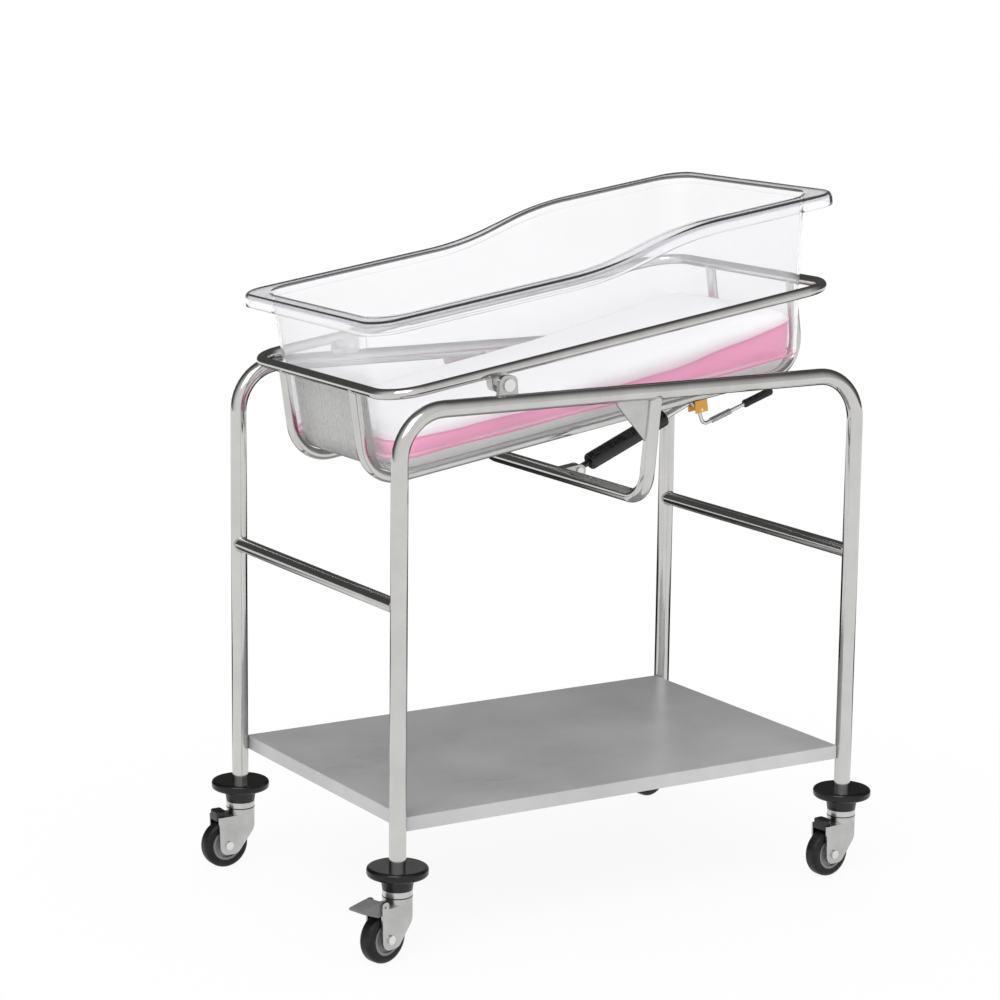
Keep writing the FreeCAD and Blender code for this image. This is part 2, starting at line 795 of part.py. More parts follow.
def strut_mounting():
    """Bar between the hoops, and the forked bracket under it for the strut's upper end."""
    span = 2 * d.hoop_side
    bar = rod("strut_bar_solid", d.strut_bar_dia / 2, span, "Y", (head_u, 0, -d.hoop_drop))
    hoops = [rod(f"strut_bar_cope_{side}", d.hoop_dia / 2, span, "X",
                 (head_u, sign * d.hoop_side, -d.hoop_drop)) for side, sign in SIDES.items()]
    keep("strut_cross_bar", in_cradle(cut("strut_cross_bar", bar, *hoops)))

    body = make_body("top_bracket_body")
    half = d.top_bracket_width / 2
    nose = d.top_bracket_nose
    outline = Outline(body, "top_bracket_outline", "XZ_Plane")
    outline.run([(head_u - half, -d.hoop_drop), (head_u - nose, head_w - nose),
                 (head_u + nose, head_w - nose), (head_u + half, -d.hoop_drop)],
                [0, d.top_bracket_corner, d.top_bracket_corner, 0])
    pad(body, outline, cheek_outer * 2, symmetric=True)
    space = Outline(body, "top_bracket_slot", "XZ_Plane")
    slot_top = head_w + d.eye_radius + 2 * d.open_pivot_clearance
    reach = d.top_bracket_width
    space.run([(head_u - reach, head_w - reach), (head_u + reach, head_w - reach),
               (head_u + reach, slot_top), (head_u - reach, slot_top)], [0] * 4)
    pocket(body, space, cheek_inner * 2)
    bore = Outline(body, "top_bracket_bore", "XZ_Plane")
    bore.circle((head_u, head_w), d.strut_pin_dia / 2 + d.open_pivot_clearance)
    pocket(body, bore)
    bar_cope = rod("top_bracket_cope", d.strut_bar_dia / 2, span, "Y", (head_u, 0, -d.hoop_drop))
    keep("strut_top_bracket", in_cradle(cut("strut_top_bracket", body, bar_cope)))


def release_head():
    """The moulded cap over the bracket's end, open on the strut's side, above and below."""
    low_u = head_u - d.cap_lead
    high_u = low_u + d.cap_length
    high_w = head_w + d.cap_lead
    low_w = high_w - d.cap_height
    width = cheek_outer + d.cap_wall
    shell = block("cap_block", (low_u, -width, low_w), (high_u, width, high_w))
    space = block("cap_space", (low_u - CUT_MARGIN, -cheek_outer, low_w - CUT_MARGIN),
                  (high_u - d.cap_end_wall, cheek_outer, high_w + CUT_MARGIN))
    pin_hole = rod("cap_pin_hole", d.lever_pin_dia / 2, width * 2 * TOOL_REACH, "Y", (lever_u, 0, lever_w))
    keep("release_head", in_cradle(cut("release_head", shell, space, pin_hole)))
    pin = rod("lever_pin", d.lever_pin_dia / 2, width * 2, "Y", (lever_u, 0, lever_w))
    in_cradle_at(pin, lever_u, -width, lever_w)
    keep("lever_pin", pin)


def in_cradle_at(item, u, y, w):
    """Places an object at a point of the cradle's frame, for one that keeps its own turn."""
    bind(item, "Placement.Base.x", u * cosine(d.tilt) - w * sine(d.tilt))
    bind(item, "Placement.Base.y", y)
    bind(item, "Placement.Base.z", cradle_height + u * sine(d.tilt) + w * cosine(d.tilt))


def release_lever():
    """The bent wire that turns on the lever pin, and its rubber grip."""
    elbow = (lever_u + d.lever_elbow_lead, lever_w - d.lever_elbow_drop)
    wire_length = d.lever_reach - d.grip_end
    tip = (elbow[0] + wire_length * cosine(d.lever_rise), elbow[1] + wire_length * sine(d.lever_rise))
    radius = d.lever_wire_dia / 2
    body = make_body("lever_wire_body")
    start = (lever_u + d.lever_elbow_lead * d.lever_start_share,
             lever_w - d.lever_elbow_drop * d.lever_start_share)
    spine = Outline(body, "lever_spine", "XZ_Plane")
    spine.run([start, elbow, tip], [0, d.lever_bend, 0], closed=False)
    section = Outline(body, "lever_section", "XY_Plane", start[1])
    section.circle((start[0], 0), radius)
    pipe(body, spine, section)
    place = (lever_u, 0, lever_w)
    eye = rod("lever_eye", d.lever_eye_radius, d.lever_eye_width, "Y", place)
    across = d.lever_eye_width * TOOL_REACH
    bore = rod("lever_bore", d.lever_pin_dia / 2 + d.running_fit, across, "Y", place)
    clear = rod("lever_clear", d.lever_eye_radius - d.lever_eye_lap, across, "Y", place)
    wire = fuse("lever_wire", cut("lever_wire_only", body, clear), cut("lever_eye_bored", eye, bore))
    keep("lever_wire", in_cradle(wire))

    grip = make_body("lever_grip")
    outer = d.grip_dia / 2
    grip_start = d.lever_reach - d.grip_length
    outline = Outline(grip, "grip_outline", "XZ_Plane")
    outline.run([(grip_start, radius), (wire_length, radius), (wire_length, 0), (d.lever_reach, 0),
                 (d.lever_reach, outer), (grip_start, outer)],
                [0, 0, 0, 0, d.grip_end_round, d.grip_start_round])
    revolve(grip, outline, "H_Axis")
    turn(grip, Vector(0, -1, 0), d.tilt + d.lever_rise)
    in_cradle_at(grip, elbow[0], 0, elbow[1])
    keep("lever_grip", grip)


# ---------------------------------------------------------------- gas strut

def along_strut(item):
    """Places an object that is drawn along X from the strut's lower pin."""
    turn(item, Vector(0, -1, 0), slope(strut_run, strut_rise))
    move_to(item, (strut_foot_x, 0, strut_foot_height))
    return item


def gas_cylinder():
    """The pressure tube with its end gland, and the eye on the lower pin."""
    body = make_body("cylinder_body")
    outer = d.cylinder_dia / 2
    bore = outer - d.cylinder_wall
    rod_bore = d.rod_dia / 2 + d.running_fit
    end = d.cylinder_start + d.cylinder_length
    floor = d.cylinder_start + d.gland_length
    outline = Outline(body, "cylinder_outline", "XZ_Plane")
    outline.run([(0, 0), (floor, 0), (floor, bore), (end - d.gland_length, bore),
                 (end - d.gland_length, rod_bore), (end, rod_bore), (end, outer),
                 (d.cylinder_start, outer), (d.cylinder_start, d.cylinder_neck), (0, d.cylinder_neck)],
                [0, 0, 0, 0, 0, 0, d.cylinder_wall, d.cylinder_base_round, 0, 0])
    revolve(body, outline, "H_Axis")
    eye = rod("cylinder_eye", d.eye_radius, d.eye_width, "Y", (0, 0, 0))
    hole = rod("cylinder_hole", d.strut_pin_dia / 2 + d.running_fit, d.eye_width * TOOL_REACH, "Y",
               (0, 0, 0))
    solid = fuse("cylinder_solid", body, eye)
    keep("gas_cylinder", along_strut(cut("gas_cylinder", solid, hole)))


def gas_rod():
    """The piston rod, its eye, and the pin that the eye carries through the bracket's wide holes."""
    centre = (strut_length - d.rod_length / 2, 0, 0)
    shaft = rod("rod_shaft", d.rod_dia / 2, d.rod_length, "X", centre)
    eye = rod("rod_eye", d.eye_radius, d.eye_width, "Y", (strut_length, 0, 0))
    hole = rod("rod_hole", d.strut_pin_dia / 2, d.eye_width * TOOL_REACH, "Y", (strut_length, 0, 0))
    solid = fuse("rod_solid", shaft, eye)
    keep("gas_rod", along_strut(cut("gas_rod", solid, hole)))
    half = cheek_outer - d.body_gap
    pin = rod("strut_upper_pin", d.strut_pin_dia / 2, half * 2, "Y", (0, 0, 0))
    move_to(pin, (d.strut_head_x, -half, strut_head_height))
    keep("strut_upper_pin", pin)


# ---------------------------------------------------------------- tub and bedding

def between(base, top, level):
    """A wall's offset at one level, from its offsets at the tub's floor and at the taper's top."""
    return base + (top - base) * (level - tub_floor) / (taper_top - tub_floor)


def tub_solid(name, inset, floor, base_radius=0):
    """The tub's tapered form, drawn in by an inset all round, from a floor level up past the rim.

    The turn from floor to wall is a quarter circle of strips between level outlines.
    """
    body = make_body(name)
    count = QUARTER_TURN // BASE_STEP + 1 if base_radius else 0
    turns = [Size.of(BASE_STEP * step) for step in range(count)]
    steps = [(floor + base_radius * (1 - cosine(angle)), base_radius * (1 - sine(angle)))
             for angle in turns]
    outlines = []
    for level, draw_in in (steps or [(Size.of(floor), 0)]) + [(taper_top, 0)]:
        inward = inset + draw_in
        foot = between(tub_foot_base, tub_foot_top, level) - inward
        head = between(tub_head_base, tub_head_top, level) - inward
        half = between(tub_half_base, tub_half_top, level) - inward
        corner = between(d.tub_corner_base, d.tub_corner_top, level) - inward
        outline = Outline(body, f"{name}_level_{len(outlines)}", "XY_Plane", level)
        outlines.append(outline.rounded_box(-foot, head, half, corner).sketch)
    loft = body.newObject("PartDesign::AdditiveLoft", f"{name}_loft")
    loft.Profile = outlines[0]
    loft.Sections = outlines[1:]
    loft.Ruled = True
    return body


def rim_points(drop):
    """The stepped line of the rim, lowered by a drop, from the foot end to the head end."""
    return [(-region_reach, d.rim_foot - drop), (d.rim_step_start, d.rim_foot - drop),
            (d.rim_step_end, d.rim_head - drop), (region_reach, d.rim_head - drop)]


def side_region(name, points, radii, half_width):
    """A slab across the tub whose outline is seen from the side."""
    body = make_body(name)
    outline = Outline(body, f"{name}_outline", "XZ_Plane").run(points, radii)
    pad(body, outline, half_width * 2, symmetric=True)
    return body


def under_rim(name, drop):
    """Everything below the rim's line, lowered by a drop."""
    low = tub_floor - CUT_MARGIN
    points = [(-region_reach, low), (region_reach, low)] + rim_points(drop)[::-1]
    radii = [0, 0, 0, d.rim_step_radius, d.rim_step_radius, 0]
    return side_region(name, points, radii, lip_half_width + CUT_MARGIN)


def lip_prism(name, inset):
    """The lip's outline from above, drawn in by an inset, as an upright block."""
    body = make_body(name)
    outline = Outline(body, f"{name}_outline", "XY_Plane", tub_floor)
    outline.rounded_box(inset - lip_foot, lip_head - inset, lip_half_width - inset,
                        d.lip_corner - inset)
    pad(body, outline, taper_top - tub_floor)
    return body


def basin():
    """The clear tub: a tapered shell with a stepped rim and a turned-down lip."""
    step = d.rim_step_radius
    band = side_region("lip_band", rim_points(d.lip_depth) + rim_points(0)[::-1],
                       [0, step, step, 0, 0, step, step, 0], lip_half_width + CUT_MARGIN)
    lip = common("lip_solid", lip_prism("lip_outer", 0), band)
    hollow = common("lip_hollow", lip_prism("lip_inner", d.tub_wall), under_rim("under_lip", d.tub_wall))
    walls = common("wall_solid", tub_solid("tub_outer", 0, tub_floor, d.tub_base_radius),
                   under_rim("under_top", 0))
    inside = tub_solid("tub_inner", d.tub_wall, tub_floor + d.tub_wall, d.tub_base_radius - d.tub_wall)
    shell = fuse("tub_shell", cut("lip_shell", lip, hollow), walls)
    keep("basin", in_cradle(cut("basin", shell, inside)))


def long_line(foot_level, middle_level, head_level, rise=0):
    """A bent line over the bed, given at the tub's ends and its bend, and drawn on past both ends."""
    def drawn_on(end, level, reach):
        climb = (level - middle_level) / (end - d.mattress_middle)
        return (reach, middle_level + climb * (reach - d.mattress_middle) + rise)

    return [drawn_on(-tub_foot_base, foot_level, -region_reach), (d.mattress_middle, middle_level + rise),
            drawn_on(tub_head_base, head_level, region_reach)]


def bed_points(rise):
    """The mattress's top line from foot to head, raised by a rise."""
    return long_line(d.mattress_top_foot, d.mattress_top_middle, d.mattress_top_head, rise)


def under_bed(name, rise):
    """Everything below the mattress's top line, raised by a rise."""
    low = tub_floor - CUT_MARGIN
    points = [(-region_reach, low), (region_reach, low)] + bed_points(rise)[::-1]
    return side_region(name, points, [0] * 5, tub_half_top)


def bedding():
    """A mattress that fills the tub's floor, and a sheet over its top and upper sides."""
    gap = d.tub_wall + d.mattress_gap
    floor = tub_floor + d.tub_wall + d.body_gap
    filling = tub_solid("mattress_form", gap, floor, d.tub_base_radius - d.tub_wall)
    keep("mattress", in_cradle(common("mattress", filling, under_bed("mattress_top", 0))))

    inner_gap = d.body_gap
    outer_gap = d.body_gap + d.sheet_gauge
    hem = long_line(d.hem_foot, d.hem_middle, d.hem_head)
    band = side_region("sheet_band", hem + bed_points(outer_gap)[::-1], [0] * 6, tub_half_top)
    outer = common("sheet_outer", tub_solid("sheet_outer_form", gap - outer_gap, floor), band)
    inner = common("sheet_inner", tub_solid("sheet_inner_form", gap - inner_gap, floor - CUT_MARGIN),
                   under_bed("sheet_under", inner_gap))
    keep("sheet", in_cradle(cut("sheet", outer, inner)))


# ---------------------------------------------------------------- casters

def rest_turn(corner):
    """How far a caster is swivelled from straight back, as it stands at rest."""
    return getattr(d, f"{corner}_turn")


def at_leg(item, x_sign, y_sign, swivelled=0):
    """Places an object that is drawn about its swivel axis."""
    turn(item, Vector(0, 0, 1), swivelled)
    bind(item, "Placement.Base.x", x_sign * leg_x)
    bind(item, "Placement.Base.y", y_sign * leg_y)
    return item


def bumper_disc(corner, x_sign, y_sign):
    """A rubber disc between leg and caster, with a rounded rim."""
    body = make_body(f"{corner}_bumper_disc")
    hole = d.stem_dia / 2 + d.running_fit
    outer = d.bumper_dia / 2
    outline = Outline(body, f"{corner}_bumper_outline", "XZ_Plane")
    outline.run([(hole, bumper_base), (outer, bumper_base), (outer, leg_foot), (hole, leg_foot)],
                [0, d.bumper_rim, d.bumper_rim, 0])
    revolve(body, outline, "V_Axis")
    keep(f"{corner}_bumper_disc", at_leg(body, x_sign, y_sign))


def caster_mount(corner, x_sign, y_sign):
    """Cup, upper race, king pin with its nut, and the stem inside the leg."""
    body = make_body(f"{corner}_caster_mount")
    nut_top = d.roof_height - d.fork_gauge - d.body_gap
    nut_base = nut_top - d.king_nut
    pin = d.king_pin_dia / 2
    race = d.race_dia / 2
    stem_top = bumper_base + d.stem_length
    outline = Outline(body, f"{corner}_mount_outline", "XZ_Plane")
    outline.run([(0, nut_base), (d.king_nut_dia / 2, nut_base), (d.king_nut_dia / 2, nut_top),
                 (pin, nut_top), (pin, mount_base), (race, mount_base), (race, cup_base),
                 (d.cup_dia / 2, bumper_base), (d.stem_dia / 2, bumper_base),
                 (d.stem_dia / 2, stem_top), (0, stem_top)], [0] * 9 + [d.bumper_rim, 0])
    revolve(body, outline, "V_Axis")
    keep(f"{corner}_caster_mount", at_leg(body, x_sign, y_sign))


def caster_fork(corner, x_sign, y_sign):
    """A hood of plate over the wheel, closed in front and open behind, with the lower race on its roof.

    A braked one has ears that stand up at the back for the pedal's pins.
    """
    body = make_body(f"{corner}_caster_fork")
    low = axle_height - d.fork_foot
    half = d.fork_gap / 2
    outer_half = half + d.fork_gauge
    outline = Outline(body, f"{corner}_fork_outline", "XZ_Plane")
    outline.run([(d.fork_front, d.roof_height), (d.fork_front, d.fork_cheek_height),
                 (d.fork_foot - d.trail, low), (-d.fork_foot - d.trail, low),
                 (-d.fork_back, d.roof_height)],
                [0, d.fork_shoulder_round, d.fork_foot_round, d.fork_foot_round, 0])
    pad(body, outline, outer_half * 2, symmetric=True)
    if corner in BRAKED_CASTERS:
        ears = Outline(body, f"{corner}_fork_ears", "XZ_Plane")
        ear_front = d.pedal_ear - d.pedal_pivot_back
        ear_top = pedal_height + d.pedal_ear
        ears.run([(-d.fork_back, d.roof_height - d.pedal_ear), (ear_front, d.roof_height - d.pedal_ear),
                  (ear_front, ear_top), (-d.fork_back, ear_top)],
                 [0, 0, d.pedal_ear_round, d.pedal_ear_round])
        pad(body, ears, outer_half * 2, symmetric=True)
    corners = Outline(body, f"{corner}_fork_corners", "XY_Plane")
    start = d.fork_front - d.fork_corner - FACE_MARGIN
    out = d.fork_front + FACE_MARGIN
    for sign in SIDES.values():
        inside = sign * (outer_half - d.fork_corner - FACE_MARGIN)
        beyond = sign * (outer_half + FACE_MARGIN)
        corners.run([(d.fork_front, inside), (d.fork_front, sign * outer_half), (start, sign * outer_half),
                     (start, beyond), (out, beyond), (out, inside)], [0, d.fork_corner, 0, 0, 0, 0])
    pocket(body, corners)
    space = Outline(body, f"{corner}_fork_space", "XY_Plane")
    front = d.fork_front - d.fork_gauge
    inner_corner = d.fork_corner - d.fork_gauge
    space.run([(-d.wheel_dia, -half), (front, -half), (front, half), (-d.wheel_dia, half)],
              [0, inner_corner, inner_corner, 0])
    pocket(body, space, (d.roof_height - d.fork_gauge) * 2)
    opening = Outline(body, f"{corner}_fork_opening", "XY_Plane")
    opening.run([(-d.wheel_dia, -half), (-d.roof_back, -half), (-d.roof_back, half),
                 (-d.wheel_dia, half)], [0] * 4)
    pocket(body, opening)
    race = Outline(body, f"{corner}_race_outline", "XY_Plane", d.roof_height)
    race.circle((0, 0), d.race_dia / 2)
    pad(body, race, d.race_height)
    bore = Outline(body, f"{corner}_race_bore", "XY_Plane", d.roof_height)
    bore.circle((0, 0), d.king_pin_dia / 2 + d.running_fit)
    pocket(body, bore)
    axle_hole = Outline(body, f"{corner}_axle_hole", "XZ_Plane")
    axle_hole.circle((-d.trail, axle_height), d.axle_dia / 2)
    pocket(body, axle_hole)
    if corner in BRAKED_CASTERS:
        pin_hole = Outline(body, f"{corner}_ear_hole", "XZ_Plane")
        pin_hole.circle((-d.pedal_pivot_back, pedal_height), d.pedal_pin_dia / 2 + d.running_fit)
        pocket(body, pin_hole)
    keep(f"{corner}_caster_fork", at_leg(body, x_sign, y_sign, rest_turn(corner)))


def wheel_axle(corner, x_sign, y_sign):
    """A bolt with a cap at each end."""
    half = d.fork_gap / 2 + d.fork_gauge
    shaft = rod(f"{corner}_axle_shaft", d.axle_dia / 2, half * 2, "Y", (-d.trail, 0, axle_height))
    caps = [rod(f"{corner}_axle_cap_{side}", d.axle_cap_dia / 2, d.axle_cap, "Y",
                (-d.trail, sign * (half + d.axle_cap / 2), axle_height)) for side, sign in SIDES.items()]
    keep(f"{corner}_axle", at_leg(fuse(f"{corner}_axle", shaft, *caps), x_sign, y_sign, rest_turn(corner)))


def place_wheel(item, x_sign, y_sign, swivelled):
    """Places an object that is drawn about its axle."""
    turn(item, Vector(0, 0, 1), swivelled)
    bind(item, "Placement.Base.x", x_sign * leg_x - d.trail * cosine(swivelled))
    bind(item, "Placement.Base.y", y_sign * leg_y - d.trail * sine(swivelled))
    bind(item, "Placement.Base.z", axle_height)
    return item


def wheel(corner, x_sign, y_sign):
    """A recessed hub and the tyre on it."""
    hub = make_body(f"{corner}_wheel_hub")
    bore = d.axle_dia / 2 + d.running_fit
    boss = d.hub_boss_dia / 2
    rim = d.hub_dia / 2
    inner_rim = rim - d.hub_flange
    boss_half = d.fork_gap / 2 - d.body_gap
    half = d.hub_width / 2
    web = half - d.hub_recess
    side_points = [(bore, boss_half), (boss, boss_half), (boss, web), (inner_rim, web), (inner_rim, half),
                   (rim, half)]
    mirrored = [(radius, -height) for radius, height in side_points[::-1]]
    outline = Outline(hub, f"{corner}_hub_outline", "XY_Plane")
    outline.run(side_points + mirrored, [0] * 12)
    revolve(hub, outline, "V_Axis")
    keep(f"{corner}_wheel_hub", place_wheel(hub, x_sign, y_sign, rest_turn(corner)))

    tyre = make_body(f"{corner}_tyre")
    width = d.wheel_width / 2
    outline = Outline(tyre, f"{corner}_tyre_outline", "XY_Plane")
    outline.run([(rim, -width), (axle_height, -width), (axle_height, width), (rim, width)],
                [0, d.tyre_shoulder, d.tyre_shoulder, 0])
    revolve(tyre, outline, "V_Axis")
    keep(f"{corner}_tyre", place_wheel(tyre, x_sign, y_sign, rest_turn(corner)))


def brake_pedal(corner, x_sign, y_sign):
    """A wedge of a pedal, hollow under its tread, with a brake shoe for a belly and stub pins."""
    body = make_body(f"{corner}_pedal_body")

    def at(back, rise):
        """A point behind the pedal's pivot and above it."""
        return (-d.pedal_pivot_back - back, pedal_height + rise)

    crown = at(d.pedal_crown, d.pedal_crown_rise)
    tip = at(d.pedal_reach, d.pedal_tip_rise)
    shoe_end = d.brake_shoe_start + d.brake_shoe_length
    outline = Outline(body, f"{corner}_pedal_outline", "XZ_Plane")
    outline.run([at(-d.pedal_root, -d.pedal_root_drop), at(d.brake_shoe_start, -d.brake_shoe_drop),
                 at(shoe_end, -d.brake_shoe_drop), (tip[0], tip[1] - d.pedal_tip_gauge), tip, crown,
                 at(-d.pedal_root, d.pedal_root_rise)],
                [0, 0, 0, d.pedal_tip_round, d.pedal_tip_round, d.pedal_crown_round, 0])
    pad(body, outline, d.pedal_width, symmetric=True)
    fall = (crown[1] - tip[1]) / (d.pedal_reach - d.pedal_crown)
    hollow = Outline(body, f"{corner}_pedal_hollow", "XZ_Plane")
    start = shoe_end + d.pedal_wall
    end = d.pedal_reach - d.pedal_wall
    roof = [at(back, d.pedal_crown_rise - (back - d.pedal_crown) * fall - d.pedal_wall)
            for back in (end, start)]
    hollow.run([at(start, -d.wheel_dia), at(end, -d.wheel_dia), *roof], [0] * 4)
    pocket(body, hollow, d.pedal_width - d.pedal_wall * 2)
    pins = rod(f"{corner}_pedal_pins", d.pedal_pin_dia / 2, d.fork_gap + 2 * d.fork_gauge, "Y",
               (-d.pedal_pivot_back, 0, pedal_height))
    name = f"{corner}_brake_pedal"
    keep(name, at_leg(fuse(name, body, pins), x_sign, y_sign, rest_turn(corner)))


def caster(corner, x_sign, y_sign):
    for maker in (bumper_disc, caster_mount, caster_fork, wheel_axle, wheel):
        maker(corner, x_sign, y_sign)
    if corner in BRAKED_CASTERS:
        brake_pedal(corner, x_sign, y_sign)


# ---------------------------------------------------------------- assembly, checks and export

def build():
    for side, sign in SIDES.items():
        for maker in (side_arch, gusset, pivot_bracket, hoop, pivot_set):
            maker(side, sign)
    for end, sign in ENDS.items():
        crossbar(end, sign)
    for maker in (shelf, drop_yoke, strut_base_lug, ring_rail, strut_mounting, release_head, release_lever,
                  gas_cylinder, gas_rod, basin, bedding):
        maker()
    for side, y_sign in SIDES.items():
        for end, x_sign in ENDS.items():
            caster(f"{side}_{end}", x_sign, y_sign)
    document.recompute()


def check():
    """Stops at any failed object, and at any sub-part that isn't one sound solid."""
    failed = [item.Name for item in document.Objects if {"Invalid", "Error"} & set(item.State)]
    if failed:
        raise RuntimeError(f"objects failed: {failed}")
    for label, item in parts.items():
        if item.Label != label:
            raise RuntimeError(f"{label} is labelled {item.Label}")
        if item.Shape.isNull() or not item.Shape.isValid():
            raise RuntimeError(f"{label} has no valid shape")
        if len(item.Shape.Solids) != 1:
            raise RuntimeError(f"{label} has {len(item.Shape.Solids)} solids")


def export():
    os.makedirs("parts", exist_ok=True)
    for label, item in parts.items():
        item.Shape.exportStep(f"parts/{label}.step")
    print(f"{len(parts)} sub-parts written")


build()
check()
export()
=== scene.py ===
"""Looks of the hospital bassinet: finishes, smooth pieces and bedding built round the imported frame.

Lengths are metres, in the frame's axes: X along the bassinet with the head end at +X, Y across, Z up.
The cradle's own frame is tilted: U runs along it and W stands square to it.
"""

import logging
import math
from dataclasses import dataclass, field
from enum import Enum
from typing import Any

import bmesh
import bpy
import numpy as np
from mathutils import Matrix, Vector


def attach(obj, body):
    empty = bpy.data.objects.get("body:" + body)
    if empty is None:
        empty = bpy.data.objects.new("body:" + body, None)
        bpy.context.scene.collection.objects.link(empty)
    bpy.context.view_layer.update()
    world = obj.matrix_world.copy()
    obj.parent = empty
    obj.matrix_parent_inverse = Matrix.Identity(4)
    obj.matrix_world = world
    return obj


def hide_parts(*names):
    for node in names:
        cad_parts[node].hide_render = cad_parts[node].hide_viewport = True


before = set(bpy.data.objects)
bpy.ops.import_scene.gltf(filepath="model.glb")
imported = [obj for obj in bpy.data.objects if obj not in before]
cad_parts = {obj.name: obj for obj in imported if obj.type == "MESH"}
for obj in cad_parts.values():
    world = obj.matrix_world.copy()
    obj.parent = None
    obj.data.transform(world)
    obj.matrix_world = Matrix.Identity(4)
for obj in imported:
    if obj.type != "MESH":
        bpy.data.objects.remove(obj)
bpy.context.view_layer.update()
MM = 0.001
LOG = logging.getLogger("bassinet")

Triple = tuple[float, float, float]
Colour = Triple
Marks = tuple[float, float, float, float]
Skin = tuple[np.ndarray, list[np.ndarray]]


# ---------------------------------------------------------------- shader recipes

class Wire:
    """An output socket that takes part in arithmetic."""

    def __init__(self, recipe: "Recipe", socket: bpy.types.NodeSocket) -> None:
        """Keeps the socket and the recipe that its Math nodes go into."""
        self.recipe = recipe
        self.socket = socket

    def maths(self, operation: str, *values: Any) -> "Wire":
        """Adds one Math node.

        Args:
            operation: Blender's name of the operation.
            values: its inputs, numbers or wires, in order.

        Returns:
            The node's result.
        """
        return self.recipe.add("Math", {"operation": operation}, dict(enumerate(values)))

    def __add__(self, other: Any) -> "Wire":
        """Sum."""
        return self.maths("ADD", self, other)

    def __sub__(self, other: Any) -> "Wire":
        """Difference."""
        return self.maths("SUBTRACT", self, other)

    def __rsub__(self, other: Any) -> "Wire":
        """Difference from a number."""
        return self.maths("SUBTRACT", other, self)

    def __mul__(self, other: Any) -> "Wire":
        """Product."""
        return self.maths("MULTIPLY", self, other)

    def __mod__(self, other: Any) -> "Wire":
        """What is left after whole steps of a size, never negative."""
        return self.maths("FLOORED_MODULO", self, other)

    def __lt__(self, other: Any) -> "Wire":
        """One where this is the smaller, zero elsewhere."""
        return self.maths("LESS_THAN", self, other)

    def __or__(self, other: Any) -> "Wire":
        """The larger of two masks."""
        return self.maths("MAXIMUM", self, other)

    def __abs__(self) -> "Wire":
        """Size without sign."""
        return self.maths("ABSOLUTE", self)


